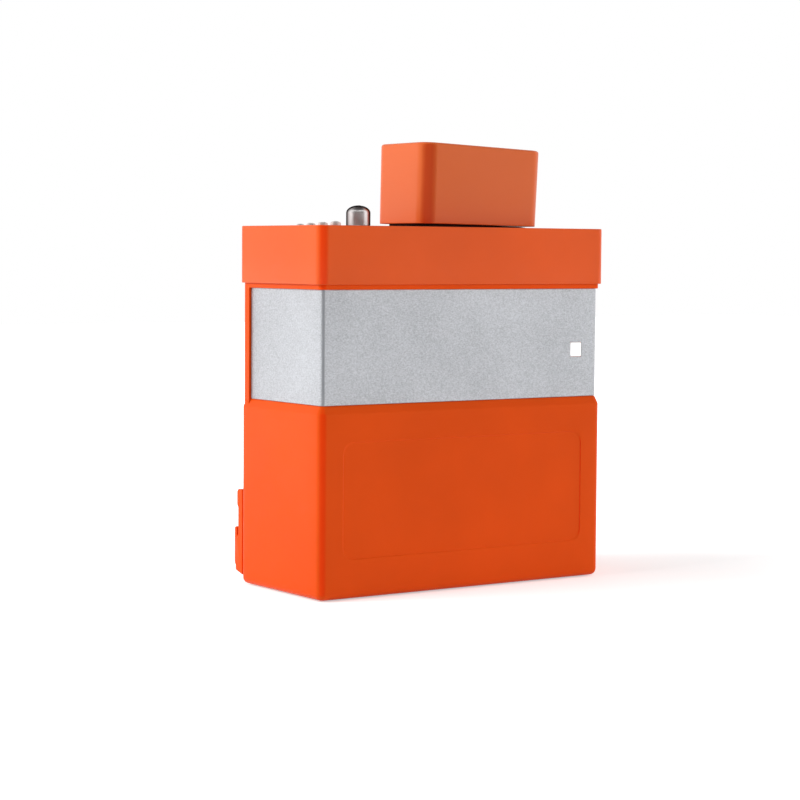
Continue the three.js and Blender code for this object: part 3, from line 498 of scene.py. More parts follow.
def make_tub():
    """Outer and inner grids over the stations: outside, the profile's insets, less deep at the rear
    strip, with the field pressed in by its depth times the eased step of its distance; inside, the
    outline one wall in and down to the floor. Cells over the rear holes and the lens are left out."""
    half_field = FIELD_W / 2
    xs = dense(-half_field, half_field) + list(np.arange(2.0, 11.0, 1.0) - half_field)
    xs += list(half_field - np.arange(2.0, 11.0, 1.0)) + list(np.linspace(-90, 90, 7))
    xs += [x for hole in REAR_HOLES for x in hole[:2]] + list(LENS_HOLE[:2])
    xs = sorted(set(np.round(xs, 3)))
    ys = [-40, -20, 0, 20, STRIP_Y - 2, STRIP_Y, STRIP_Y + 0.01, STRIP_Y + 0.4]
    stations = ring_stations(xs, ys, 10)
    rows = tub_rows()
    cols = len(stations)
    inset = np.repeat(rows[:, :1], cols, axis=1)
    height = np.repeat(rows[:, 1:], cols, axis=1)
    # the rear strip: every station behind the band's ends keeps the neck's outline
    plain_x, plain_y = rounded_rings(stations, np.full((1, cols), NECK), BODY_W, BODY_D, BODY_R)
    strip = plain_y[0] > STRIP_Y + 0.005
    banded = (rows[:, 1] <= BAND_TOP + 0.4) & (rows[:, 1] > SHOULDER_LOW)
    inset[np.ix_(banded, strip)] = np.minimum(inset[np.ix_(banded, strip)], NECK)
    edge = np.isclose(stations[:, 2], STRIP_Y + 0.01) & (stations[:, 1] != 0)
    inset[np.ix_(banded, edge)] = np.minimum(rows[banded][:, :1], NECK + 0.4)
    x, y = rounded_rings(stations, inset, BODY_W, BODY_D, BODY_R)
    front = stations[:, 3] == -1
    straight = front & (stations[:, 1] == 0)
    y += np.where(straight, FIELD_DEEP * eased_step(field_distance(x, height), 0.5), 0)
    outer = np.stack([x, y, height], -1)
    inner_height = np.maximum(height, FLOOR_Z)
    inner_x, inner_y = rounded_rings(
        stations, np.full(inset.shape, WALL), BODY_W, BODY_D, BODY_R
    )
    inner = np.stack([inner_x, inner_y, inner_height], -1)
    middle_x = (plain_x[0] + np.roll(plain_x[0], -1)) / 2
    middle_z = (rows[:-1, 1] + rows[1:, 1]) / 2
    rear = (stations[:, 3] == 1) & (np.roll(stations[:, 3], -1) == 1)
    keep = open_cells(middle_z, middle_x, [(h[2], h[3], h[0], h[1]) for h in REAR_HOLES])
    keep |= ~rear[None, :]
    ahead = (stations[:, 3] == -1) & (np.roll(stations[:, 3], -1) == -1)
    window = open_cells(middle_z, middle_x, [LENS_HOLE[2:] + LENS_HOLE[:2]])
    keep &= window | ~ahead[None, :]
    points = np.concatenate([outer.reshape(-1, 3), inner.reshape(-1, 3)])
    faces = shell_faces(len(rows), cols, keep, wrap=True, cap=True)
    return put_mesh("case_shell", points, faces, ORANGE_ABS)


tub = make_tub()
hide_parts("case_tub")
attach(tub, "case")

# ---------------- silver band
# A strip of satin aluminium 1 mm thick, bent round the left, front and right of the case and
# bonded into its recess. A square window in it leaves the status lens clear.
BAND_THICK = 1.0


def drawn_grain_group():
    """Shared metal grain: noise stretched along one axis, a slow drift and a mask of rubbed spots."""
    group, entry, leave = new_group(
        "drawn_grain",
        {"Stretch": "Vector"} | ROUGHNESS_RANGE,
        {"Grain": "Float", "Tone": "Float", "Roughness": "Float"},
    )
    place = where(group)
    pull = add(group, "Mapping", {"Vector": place, "Scale": entry["Stretch"]}).outputs["Vector"]
    grain = noise(group, pull, 1, 4, 0.65)
    fine = worked(group, "MULTIPLY", grain, 0.75)
    tone = worked(group, "MULTIPLY_ADD", noise(group, place, 14, 3), 0.25, fine)
    fill(leave, {"Grain": grain, "Tone": tone, "Roughness": rubbed(group, entry, tone)})
    return group


DRAWN_GRAIN = drawn_grain_group()


def metal(
    name, colour, rough, stretch=(900, 900, 900), bump=0.04, dull=0.8, metallic=1.0,
    edge=None, deep=None,
):
    """Bare metal of one colour: the grain tints it between dull x colour and colour.
    edge is a reflection painted where it is seen along the surface, deep a darker reflection painted
    where it is seen square on."""
    material, tree, shader = new_material(name)
    worn = {"Stretch": stretch, "Roughness Low": rough[0], "Roughness High": rough[1]}
    grain = add(tree, "Group", worn, node_tree=DRAWN_GRAIN).outputs
    tints = [tuple(share * c for c in colour) + (1,) for share in (dull, 1)]
    seen = mixed(tree, spread(tree, grain["Tone"], 0.35, 0.65), *tints)
    if edge:
        seen = by_angle(tree, seen, edge, *EDGE_ON)
        fill(shader, {"Specular Tint": edge})
    if deep:
        seen = by_angle(tree, deep, seen, *SQUARE_ON)
    fill(shader, {"Base Color": seen, "Roughness": grain["Roughness"], "Metallic": metallic})
    fill(shader, {"Normal": bumps(tree, grain["Grain"], bump)})
    return material


# The band's darker grey seen square on is painted reflection: it darkens the near corner and the parts
# facing the camera.
SATIN_SILVER = metal(
    "satin_silver", (0.56, 0.575, 0.605), (0.28, 0.4), (650, 650, 900), 0.4, 0.6, 0.65,
    deep=(0.30, 0.31, 0.33, 1),
)


def make_band():
    """Outer and inner grids over the stations from the left end round the front to the right end:
    the plan at the band's inset, swept straight up, with the lens window left open."""
    xs = sorted([-100, -50, 0, 50, 100] + list(LENS_HOLE[:2]))
    ys = [-40, -20, 0, 20, STRIP_Y - 4, STRIP_Y - 0.3]
    arc = 10
    stations = ring_stations(xs, ys, arc)
    start = 2 * len(xs) + len(ys) + 3 * (arc + 1)
    stations = np.roll(stations, -start, axis=0)[: 2 * len(ys) + 2 * (arc + 1) + len(xs)]
    top, low, ease = BAND_TOP, SHOULDER_TOP + 0.3, 0.25
    rows = [(BAND_IN + ease, top), (BAND_IN, top - ease), (BAND_IN, LENS_HOLE[3])]
    rows += [(BAND_IN, LENS_HOLE[2]), (BAND_IN, low + ease), (BAND_IN + ease, low)]
    rows = np.array(rows)
    height = np.repeat(rows[:, 1:], len(stations), axis=1)
    outer_inset = np.repeat(rows[:, :1], len(stations), axis=1)
    inner_inset = np.full(outer_inset.shape, BAND_IN + BAND_THICK)
    grids = []
    for inset in (outer_inset, inner_inset):
        x, y = rounded_rings(stations, inset, BODY_W, BODY_D, BODY_R)
        grids.append(np.stack([x, y, height], -1).reshape(-1, 3))
    x, y = rounded_rings(stations, outer_inset[1:2], BODY_W, BODY_D, BODY_R)
    middle_x = (x[0, :-1] + x[0, 1:]) / 2
    middle_z = (rows[:-1, 1] + rows[1:, 1]) / 2
    front = (y[0, :-1] < -BODY_D / 4) & (np.abs(y[0, 1:] - y[0, :-1]) < 0.01)
    window = open_cells(middle_z, middle_x, [LENS_HOLE[2:] + LENS_HOLE[:2]])
    keep = window | ~front[None, :]
    faces = shell_faces(len(rows), len(stations), keep, wrap=False, cap=False)
    return put_mesh("satin_band", np.concatenate(grids), faces, SATIN_SILVER)


band = make_band()
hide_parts("side_band")
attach(band, "case")

# ---------------- deck cover and its screws
# The lid of the case, moulded in the same orange ABS 3 mm thick, overhangs the tub with a deep
# skirt. Four countersunk cross-head screws of plated steel hold it to the corner pillars.
DECK_Z, DECK_THICK, SKIRT_Z, OVERHANG = 300.0, 3.0, 253.0, 1.5
RIM_GAP, DIAL_SINK, SHAFT_BORE = 2.45, 0.5, 3.6
KNOB_X, KNOB_Y, DIAL_R = -74.2, -10.0, 26.0
BUTTON_X = -116.0
BUTTONS = {
    "power": (13.2, 6.2, 1.9),
    "charge": (-3.4, 7.4, 2.5),
    "sync": (-21.2, 8.0, 3.1),
    "discharge": (-40.0, 8.6, 3.7),
}
SLOT_X, SLOT_Y, SLOT_W, SLOT_D = 25.0, 44.0, 116.6, 9.0
SCREW_X, SCREW_Y, SCREW_HEAD, SCREW_R = 132.3, 50.8, 3.6, 1.5


def eased_profile(corners, steps=5):
    """Polyline through rows of (a, b, d), where a corner with d > 0 is cut d before and after it
    and joined by the quadratic arc (1-t)^2 p + 2t(1-t) q + t^2 r."""
    corners = np.asarray(corners, float)
    t = np.linspace(0, 1, steps + 1)[:, None]
    line = [corners[:1, :2]]
    for before, here, after in zip(corners[:-2], corners[1:-1], corners[2:]):
        q = here[None, :2]
        if here[2] == 0:
            line.append(q)
            continue
        p = q + here[2] * (before[:2] - q) / np.linalg.norm(before[:2] - q)
        r = q + here[2] * (after[:2] - q) / np.linalg.norm(after[:2] - q)
        line.append((1 - t) ** 2 * p + 2 * t * (1 - t) * q + t ** 2 * r)
    line.append(corners[-1:, :2])
    return np.concatenate(line)


def turned_rings(profile, centre, sides=64, axis="z"):
    """Rings of a turned shape: the profile's radius times (cos, sin) round the centre, with its
    level along the axis."""
    profile = np.asarray(profile, float)
    angle = np.linspace(0, 2 * math.pi, sides, endpoint=False)
    radius, level = profile[:, :1], np.repeat(profile[:, 1:2], sides, axis=1)
    across, second = radius * np.cos(angle), radius * np.sin(angle)
    if axis == "z":
        return np.stack([centre[0] + across, centre[1] + second, level], -1)
    return np.stack([centre[0] + across, level, centre[1] - second], -1)


def slab_rings(rows, centre, axis="z", arc=6):
    """Rings of a block with round corners: each row gives half width, half height, corner radius
    and level along the axis."""
    rows = np.asarray(rows, float)
    s = ring_stations([], [], arc)
    corner = rows[:, 2:3]
    first = s[:, 1] * (rows[:, 0:1] - corner) + corner * s[:, 4]
    second = s[:, 3] * (rows[:, 1:2] - corner) + corner * s[:, 5]
    level = np.repeat(rows[:, 3:4], len(s), axis=1)
    if axis == "z":
        return np.stack([centre[0] + first, centre[1] + second, level], -1)
    return np.stack([centre[0] + first, level, centre[1] - second], -1)


def ring_quads(rows, cols, start=0, loop=False):
    """Quads between successive closed rings; loop joins the last ring to the first."""
    index = start + np.arange(rows * cols).reshape(rows, cols)
    upper = np.roll(index, -1, axis=0) if loop else index[1:]
    lower = index if loop else index[:-1]
    ahead, upper_ahead = np.roll(lower, -1, axis=1), np.roll(upper, -1, axis=1)
    return np.stack([lower, ahead, upper_ahead, upper], -1).reshape(-1, 4).tolist()


def put_rings(name, rings, material, loop=False, flat_angle=30, seat=None):
    """Closed body from rings: capped at both ends, or joined into a loop."""
    rows, cols = rings.shape[:2]
    faces = ring_quads(rows, cols, 0, loop)
    if not loop:
        faces.append(list(range(cols))[::-1])
        faces.append(list(range((rows - 1) * cols, rows * cols)))
    return put_mesh(name, rings, faces, material, flat_angle, seat)


def pierced(name, skin, holes, material, seat=None, flat_angle=30):
    """Hollow cover: a skin of rings from the top face's outline down and back up inside to the
    lower face's outline, holes as rings from the top face to the lower one, and both faces filled
    with triangles between their outlines."""
    start, faces, edges = 0, [], ([], [])
    for rings in [skin] + holes:
        rows, cols = rings.shape[:2]
        faces += ring_quads(rows, cols, start)
        for group, first in zip(edges, (start, start + (rows - 1) * cols)):
            group += [(first + i, first + (i + 1) % cols) for i in range(cols)]
        start += rows * cols
    points = np.concatenate([rings.reshape(-1, 3) for rings in [skin] + holes])
    edit = bmesh.new()
    for place in points:
        edit.verts.new(place)
    edit.verts.ensure_lookup_table()
    for group in edges:
        lines = [edit.edges.new([edit.verts[a], edit.verts[b]]) for a, b in group]
        bmesh.ops.triangle_fill(edit, use_beauty=True, edges=lines, normal=(0, 0, 1))
    edit.verts.index_update()
    faces += [[corner.index for corner in face.verts] for face in edit.faces]
    edit.free()
    return put_mesh(name, points, faces, material, flat_angle, seat)


def make_deck():
    """The outline swept from the top face over the skirt and up inside to the lower face, pierced by
    the dial's seat and bore, the buttons, the electrode's slot and the screws."""
    edge = OVERHANG + 0.7
    profile = [(1.0, DECK_Z, 0), (0, DECK_Z, 1.0), (0, SKIRT_Z, 0.5), (edge, SKIRT_Z, 0.3)]
    ledge = RIM_TOP + RIM_GAP
    profile += [(edge, ledge, 0), (OVERHANG + WALL, ledge, 0)]
    profile = eased_profile(profile + [(OVERHANG + WALL, DECK_Z - DECK_THICK, 0)])
    stations = ring_stations([], [], 14)
    inset = np.repeat(profile[:, :1] - OVERHANG, len(stations), axis=1)
    height = np.repeat(profile[:, 1:], len(stations), axis=1)
    x, y = rounded_rings(stations, inset, BODY_W, BODY_D, BODY_R)
    skin = np.stack([x, y, height], -1)
    under = DECK_Z - DECK_THICK
    dial = [(DIAL_R + 0.5, DECK_Z), (DIAL_R + 0.3, DECK_Z - 0.15)]
    dial += [(DIAL_R + 0.3, DECK_Z - DIAL_SINK), (SHAFT_BORE, DECK_Z - DIAL_SINK), (SHAFT_BORE, under)]
    holes = [turned_rings(dial, (KNOB_X, KNOB_Y), 96)]
    for y0, wide, _ in BUTTONS.values():
        r = wide / 2 + 0.3
        rim = [(r + 0.35, DECK_Z), (r, DECK_Z - 0.35), (r, under)]
        holes.append(turned_rings(rim, (BUTTON_X, y0), 40))
    half_w, half_d = SLOT_W / 2, SLOT_D / 2
    slot = [(half_w + 0.5, half_d + 0.5, 1.0, DECK_Z), (half_w, half_d, 0.5, DECK_Z - 0.5)]
    holes.append(slab_rings(slot + [(half_w, half_d, 0.5, under)], (SLOT_X, SLOT_Y)))
    sink = [(SCREW_HEAD + 0.3, DECK_Z), (SCREW_R + 0.3, DECK_Z - 2.5), (SCREW_R + 0.3, under)]
    for sx in (-1, 1):
        for sy in (-1, 1):
            holes.append(turned_rings(sink, (sx * SCREW_X, sy * SCREW_Y), 32))
    return pierced("deck_lid", skin, holes, LID_ABS)


# The lid turns from the same square-on orange to its own towards a slant: painted sheen.
LID_ABS = moulded("lid_abs", (0.81, 0.102, 0.013, 1), (0.28, 0.38), gloss=0.2, deep=ORANGE_NO_SHEEN)
lid = make_deck()
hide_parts("deck_cover")
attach(lid, "case")

PLATED_STEEL = metal("plated_steel", (0.60, 0.60, 0.59), (0.22, 0.38), (400, 400, 400), 0.05, 0.7)


def make_screw(name, node, sx, sy):
    """Cross-head screw: level over radius and angle, 1.2 deep where either arm of the cross is."""
    radius = np.concatenate([np.linspace(0, 2.4, 17), [2.8, 3.2, 3.45, SCREW_HEAD]])
    angle = np.linspace(0, 2 * math.pi, 72, endpoint=False)
    x, y = np.outer(radius, np.cos(angle)), np.outer(radius, np.sin(angle))
    arm = np.minimum(np.abs(x), np.abs(y)) - 0.4
    reach = np.maximum(np.abs(x), np.abs(y)) - 1.9
    depth = 1.2 * np.clip(0.5 - np.maximum(arm, reach) / 0.25, 0, 1)
    level = DECK_Z - 0.3 - depth - 0.25 * (radius[:, None] / SCREW_HEAD) ** 4
    head = np.stack([x + sx * SCREW_X, y + sy * SCREW_Y, level], -1)
    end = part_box(node)[0][2] / MM
    rest = [(SCREW_HEAD, DECK_Z - 0.7), (SCREW_R, DECK_Z - 2.6), (SCREW_R, end + 1), (0.4, end)]
    stem = turned_rings(rest, (sx * SCREW_X, sy * SCREW_Y), 72)
    screw = put_rings(name, np.concatenate([head, stem]), PLATED_STEEL, flat_angle=35)
    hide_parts(node)
    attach(screw, "case")


for sx, side in ((-1, "left"), (1, "right")):
    for sy, end in ((-1, "front"), (1, "rear")):
        make_screw(f"lid_screw_{end}_{side}", f"deck_screw_{end}_{side}", sx, sy)

# ---------------- energy dial
# A round plate of satin metal let into the deck, printed with energy steps, and a domed chrome
# knob on the rotary switch's shaft. A black line inlaid in the knob points at the chosen step.
# The knob's near-black red where its dome is seen at a slant, also its specular tint, is painted
# reflection of dark surroundings.
KNOB_PAINTED_REFLECTION = (0.03, 0.01, 0.008, 1)
CHROME = metal(
    "chrome_plate", (0.88, 0.84, 0.83), (0.28, 0.36), (60, 60, 60), 0.01, 0.92, edge=KNOB_PAINTED_REFLECTION
)
DIAL_METAL = metal("dial_metal", (0.66, 0.67, 0.68), (0.42, 0.54), (1500, 60, 1500), 0.06, 0.8, 0.5)
BLACK_PRINT = moulded("black_print", (0.02, 0.02, 0.02, 1), (0.45, 0.55), 1500, 0.02)
KNOB_R, KNOB_LOW, KNOB_TOP, KNOB_DOME = 10.0, 300.6, 317.2, 6.2

DIAL_TOP = DECK_Z + 0.3
NUMBER_SIZE, NUMBER_R, MARK_R, DIAL_SWEEP = 3.9, 20.0, 14.2, 270
plate_profile = [(SHAFT_BORE, DECK_Z - DIAL_SINK, 0), (DIAL_R, DECK_Z - DIAL_SINK, 0)]
plate_profile += [(DIAL_R, DIAL_TOP, 0.2), (SHAFT_BORE, DIAL_TOP, 0)]


def put_turned(name, rows, centre, sides, material, axis="z", steps=5, **look):
    """Body turned round the centre from the eased profile of its rows."""
    rings = turned_rings(eased_profile(rows, steps), centre, sides, axis)
    return put_rings(name, rings, material, **look)


plate = put_turned("dial_face", plate_profile, (KNOB_X, KNOB_Y), 96, DIAL_METAL, loop=True)
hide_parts("dial_plate")
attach(plate, "case")


def make_knob():
    """Hollow under its skirt for the nut and shaft; the dome is a quarter ellipse."""
    shoulder = KNOB_TOP - KNOB_DOME
    t = np.linspace(0, math.pi / 2, 17)
    dome = np.column_stack([KNOB_R * np.cos(t), shoulder + KNOB_DOME * np.sin(t)])
    under = [(0, 311.3), (3.3, 311.3), (3.3, 304.8), (7.2, 304.8), (7.2, KNOB_LOW)]
    skirt = [(9.7, KNOB_LOW), (KNOB_R, KNOB_LOW + 0.3)]
    return turned_rings(np.concatenate([under, skirt, dome]), (KNOB_X, KNOB_Y), 96)


knob = put_rings("selector_knob", make_knob(), CHROME)
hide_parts("energy_knob")
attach(knob, "knob")


def make_pointer():
    """Strip 1 wide near the dome's top, at its front: its middle line is the dome's quarter ellipse at
    a radius 0.08 larger, and its section is a shallow arch."""
    t = np.linspace(0.55, 0.94, 16) * math.pi / 2
    reach = (KNOB_R + 0.08) * np.cos(t)
    level = KNOB_TOP - KNOB_DOME + (KNOB_DOME + 0.08) * np.sin(t)
    across = np.array([-0.5, 0.5, 0.5, -0.5])
    deep = np.array([0, 0, -0.4, -0.4])
    x = KNOB_X + across[None, :] + 0 * reach[:, None]
    y = KNOB_Y - (reach[:, None] + deep[None, :])
    z = level[:, None] + 0.6 * deep[None, :]
    return np.stack([x, y, z], -1)


pointer = put_rings("knob_pointer", make_pointer(), BLACK_PRINT)
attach(pointer, "knob")


def put_text(name, text, size, place, material):
    """Flat lettering 0.06 thick on the dial, centred on its place and read from the front."""
    curve = bpy.data.curves.new(name, "FONT")
    curve.body = text
    curve.size = size * MM
    curve.extrude = 0.03 * MM
    curve.align_x = "CENTER"
    curve.align_y = "CENTER"
    shape = bpy.data.objects.new(name + "_curve", curve)
    scene.collection.objects.link(shape)
    mesh = bpy.data.meshes.new_from_object(shape)
    bpy.data.objects.remove(shape)
    mesh.transform(Matrix.Translation(np.array(place) * MM))
    mesh.materials.clear()
    mesh.materials.append(material)
    made = bpy.data.objects.new(name, mesh)
    scene.collection.objects.link(made)
    return made


STEPS = ("0", "10", "50", "100", "200", "300", "360")
for order, step in enumerate(STEPS):
    turn = -math.radians(DIAL_SWEEP * order / (len(STEPS) - 1))
    c, s = math.cos(turn), math.sin(turn)
    place = (KNOB_X + NUMBER_R * s, SHIFT_Y + KNOB_Y - NUMBER_R * c, DIAL_TOP + 0.03)
    number = put_text(f"dial_number_{step}", step, NUMBER_SIZE, place, BLACK_PRINT)
    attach(number, "case")
    line = np.array([(-0.3, -1.8), (0.3, -1.8), (0.3, 1.8), (-0.3, 1.8)]) + (0, MARK_R)
    x = KNOB_X + line[:, 0] * c + line[:, 1] * s
    y = KNOB_Y + line[:, 0] * s - line[:, 1] * c
    rows = [np.stack([x, y, np.full(4, z)], -1) for z in (DIAL_TOP, DIAL_TOP + 0.06)]
    mark = put_rings(f"dial_mark_{step}", np.array(rows), BLACK_PRINT)
    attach(mark, "case")

# ---------------- push buttons
# Four domed metal caps in a row, each a little larger than the one behind it. Each rides on a
# stem through the deck and is kept in by a flange under it.
BUTTON_METAL = metal("button_metal", (0.82, 0.75, 0.71), (0.36, 0.48), (300, 300, 300), 0.03, 0.86, 0.6)
for button, (y0, wide, high) in BUTTONS.items():
    r, low = wide / 2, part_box("button_" + button)[0][2] / MM
    t = np.linspace(0, math.pi / 2, 11)
    rise = 0.55 * high
    cap = np.column_stack([r * np.cos(t), DECK_Z + high - rise + rise * np.sin(t)])
    stem = [(0, low), (1.5, low), (1.5, 294.7), (r + 1, 294.7), (r + 1, 296.7), (r, 296.7)]
    profile = np.concatenate([stem, cap])
    pushed = put_rings("cap_" + button, turned_rings(profile, (BUTTON_X, y0), 48), BUTTON_METAL)
    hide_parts("button_" + button)
    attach(pushed, button + "_button")

# ---------------- hand paddle
# A hollow orange shell with the discharge button under the thumb, closed by a black base that
# carries the steel electrode. It is parked on the deck, leaning two degrees on its rubber pad.
PADDLE_W, PADDLE_D, PADDLE_H, PADDLE_R = 124.0, 74.0, 65.0, 13.0
PADDLE_LEAN = math.radians(2)
PADDLE_HINGE = (91.7, -6.0, 300.6)
PADDLE_TAPER, PADDLE_DROP = 0.013, 2.8
THUMB_X, THUMB_R = 34.0, 8.0


def parked(points):
    """From the paddle's frame to the case's: half a width back, turned about Y, moved to the seat."""
    x, y, z = points[:, 0] - PADDLE_W / 2, points[:, 1], points[:, 2]
    c, s = math.cos(PADDLE_LEAN), math.sin(PADDLE_LEAN)
    return np.stack([x * c + z * s, y, z * c - x * s], -1) + PADDLE_HINGE


def make_paddle():
    """Each ring is the rounded outline moved in by the profile's inset and scaled by
    1 - taper (1 - z / height). The lower edge drops towards the left, by the drop at the end."""
    wall = 3.0
    profile = [(3.6, PADDLE_H, 0), (0, PADDLE_H, 2.6), (0, 0.8, 0.7), (wall, 0.8, 0.3)]
    profile = eased_profile(profile + [(wall, PADDLE_H - wall, 0)], 8)
    levels = [(profile[9:10] * (1 - t) + profile[10:11] * t) for t in (0.25, 0.5, 0.75)]
    profile = np.concatenate([profile[:10]] + levels + [profile[10:]])
    half = np.column_stack([PADDLE_W / 2 - profile[:, 0], PADDLE_D / 2 - profile[:, 0]])
    corner = np.maximum(PADDLE_R - profile[:, :1], 2)
    rings = slab_rings(np.column_stack([half, corner, profile[:, 1:]]), (0, 0), arc=16)
    rings[..., :2] *= 1 - PADDLE_TAPER * (1 - rings[..., 2:] / PADDLE_H)
    rings[..., 2] -= PADDLE_DROP * (1 - rings[..., 2] / PADDLE_H) * (0.5 - rings[..., 0] / PADDLE_W)
    r = THUMB_R + 0.3
    rim = [(r + 0.5, PADDLE_H), (r, PADDLE_H - 0.5), (r, PADDLE_H - wall)]
    return pierced("paddle_case", rings, [turned_rings(rim, (THUMB_X, 0), 48)], PADDLE_ABS, parked)


# The second, darker orange is the paddle seen square on; towards a slant it turns to the first, a
# painted sheen that leaves a band of painted shade at the near corner.
PADDLE_ORANGE, PADDLE_NO_SHEEN = (0.68, 0.122, 0.022, 1), (0.56, 0.060, 0.008, 1)
PADDLE_ABS = moulded(
    "paddle_abs", PADDLE_ORANGE, (0.30, 0.34), shade=0.95, gloss=0.32, deep=PADDLE_NO_SHEEN
)
shell = make_paddle()
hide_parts("paddle_shell")
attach(shell, "paddle")

BLACK_NYLON = moulded("black_nylon", (0.018, 0.017, 0.016, 1), (0.38, 0.52), 700, 0.06)
RUBBER = moulded("black_rubber", (0.022, 0.02, 0.019, 1), (0.62, 0.8), 500, 0.12, 0.75)
under = PADDLE_H - 3.3
thumb = [(0, under - 7, 0), (3, under - 7, 0), (3, under - 2, 0), (THUMB_R + 2, under - 2, 0)]
thumb += [(THUMB_R + 2, under, 0), (THUMB_R, under, 0), (THUMB_R, PADDLE_H, 0.8)]
thumb += [(5.6, PADDLE_H, 0.5), (5.0, PADDLE_H - 0.5, 0.5), (0, PADDLE_H - 0.9, 0)]
press = put_turned("thumb_cap", thumb, (THUMB_X, 0), 64, BLACK_NYLON, seat=parked)
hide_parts("paddle_button")
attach(press, "thumb_button")

bush_profile = [(3.6, 31, 0), (7, 31, 0), (7, 37.3, 0), (9.5, 37.3, 0), (9.5, 39.3, 0.5)]
bush_profile += [(6.9, 39.3, 0.2), (6.6, 40.2, 0.1), (6.9, 40.6, 0.1), (6.2, 42, 0.5)]
bush_profile += [(3.6, 42, 0.4), (3.6, 36, 0)]
bush_at = (0, PADDLE_H / 2)
bush = put_turned("lead_bush", bush_profile, bush_at, 48, RUBBER, "y", 3, loop=True, seat=parked)
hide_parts("paddle_lead_bush")
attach(bush, "paddle")


def softened(name, node, material, body, width=0.4, segments=2):
    """Merged copy of a part's solid with its hard edges broken by a small bevel."""
    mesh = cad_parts[node].data.copy()
    mesh.name = name
    edit = bmesh.new()
    edit.from_mesh(mesh)
    bmesh.ops.remove_doubles(edit, verts=edit.verts, dist=2e-6)
    bmesh.ops.dissolve_limit(
        edit, angle_limit=math.radians(1), verts=edit.verts, edges=edit.edges
    )
    edit.to_mesh(mesh)
    edit.free()
    mesh.materials.clear()
    mesh.materials.append(material)
    mesh.polygons.foreach_set("use_smooth", [True] * len(mesh.polygons))
    mesh.set_sharp_from_angle(angle=math.radians(40))
    made = bpy.data.objects.new(name, mesh)
    scene.collection.objects.link(made)
    bevel = made.modifiers.new("edge_break", "BEVEL")
    bevel.width = width * MM
    bevel.segments = segments
    bevel.limit_method = "ANGLE"
    bevel.angle_limit = math.radians(40)
    bevel.harden_normals = True
    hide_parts(node)
    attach(made, body)
    return made


softened("paddle_pad", "paddle_rest_pad", RUBBER, "case", 0.25)

# ---------------- back electrode's grip
# The flat electrode for the back hangs in a pocket behind the paddle. Only the grip tab of its
# black moulded holder stands above the deck.
softened("back_grip", "back_electrode_holder", BLACK_NYLON, "back_electrode", 0.6)

# ---------------- battery
# A black moulded pack that slides out of the rear of the case, with a rounded scoop for the
# fingers. Its rear face lies flush with the case.
BATTERY_X, BATTERY_W, BATTERY_H = 64.0, 98.0, 58.0
SCOOP_W, SCOOP_H, SCOOP_R = 56.0, 18.0, 8.0
low_corner, high_corner = np.array(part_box("battery_pack")) / MM
BATTERY_MID = (low_corner[2] + high_corner[2]) / 2
BATTERY_IN, BATTERY_OUT = low_corner[1] - SHIFT_Y, high_corner[1] - SHIFT_Y


def make_battery():
    """Rings from the scoop's floor out to the rear face and back along the sides."""
    w, h, out = BATTERY_W / 2, BATTERY_H / 2, BATTERY_OUT
    scoop = ((-1, 9), (-0.2, 8.4), (0, 7.5), (0, 0.6), (0.2, 0.15), (0.6, 0))
    rows = [(SCOOP_W / 2 + a, SCOOP_H / 2 + a, SCOOP_R + a, out - deep) for a, deep in scoop]
    rows += [(w - 1, h - 1, 1.5, out), (w - 0.3, h - 0.3, 2, out - 0.3), (w, h, 2.2, out - 1)]
    rows += [(w, h, 2.2, BATTERY_IN + 1), (w - 1, h - 1, 1.5, BATTERY_IN)]
    return slab_rings(rows, (BATTERY_X, BATTERY_MID), "y", 8)


BATTERY_PLASTIC = moulded("battery_plastic", (0.028, 0.028, 0.03, 1), (0.42, 0.56), 600, 0.08)
battery = put_rings("battery_case", make_battery(), BATTERY_PLASTIC)
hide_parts("battery_pack")
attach(battery, "battery")
for order in range(5):
    level = BATTERY_MID - 13.5 - 2.4 * order
    rows = [(16, 0.7, 0.69, BATTERY_OUT - 0.1), (16, 0.7, 0.69, BATTERY_OUT + 0.3)]
    rows += [(15.7, 0.4, 0.39, BATTERY_OUT + 0.6)]
    rib = put_rings(
        f"battery_rib_{order + 1}", slab_rings(rows, (BATTERY_X, level), "y", 4), BATTERY_PLASTIC
    )
    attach(rib, "battery")

# ---------------- sockets and charger inlet
# Two round sockets for the leads and a flat inlet for the charger, moulded in black nylon with
# brass contacts. Their flanges bear on the rear of the case.
BRASS = metal("brass_contact", (0.80, 0.62, 0.30), (0.22, 0.34), (300, 300, 300), 0.03, 0.8)
SOCKET_REAR = BODY_D / 2 - NECK
SOCKET_BORE, SOCKET_BODY, SOCKET_FLANGE, PIN_RING = 5.5, 9.0, 13.0, 2.8


def put_pin(name, place, radius, low, high, tip, sides):
    """Contact pin along Y from level low to level high, rounded at its tip."""
    rows = [(0, low, 0), (radius, low, 0), (radius, high, tip), (0, high, 0)]
    pin = put_turned(name, rows, place, sides, BRASS, "y")
    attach(pin, "case")


for node, (x, z) in zip(("paddle_socket", "back_electrode_socket"), SOCKETS):
    y = SOCKET_REAR
    rows = [(0, y - 10, 0), (SOCKET_BORE, y - 10, 0), (SOCKET_BORE, y + 3, 0.4), (8.4, y + 3, 0.2)]
    rows += [(8.7, y + 2.4, 0.1), (9.6, y + 2.4, 0.1), (9.9, y + 3, 0.2), (SOCKET_FLANGE, y + 3, 0.8)]
    rows += [(SOCKET_FLANGE, y + 0.3, 0), (SOCKET_BODY, y + 0.3, 0), (SOCKET_BODY, y - 14, 0)]
    rows += [(0, y - 14, 0)]
    jack = put_turned(node + "_body", rows, (x, z), 72, BLACK_NYLON, "y", 4)
    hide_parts(node)
    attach(jack, "case")
    for order in range(3):
        angle = math.radians(90 + 120 * order)
        middle = (x + PIN_RING * math.cos(angle), z + PIN_RING * math.sin(angle))
        put_pin(f"{node}_pin_{order + 1}", middle, 0.75, y - 10.5, y - 3, 0.5, 20)

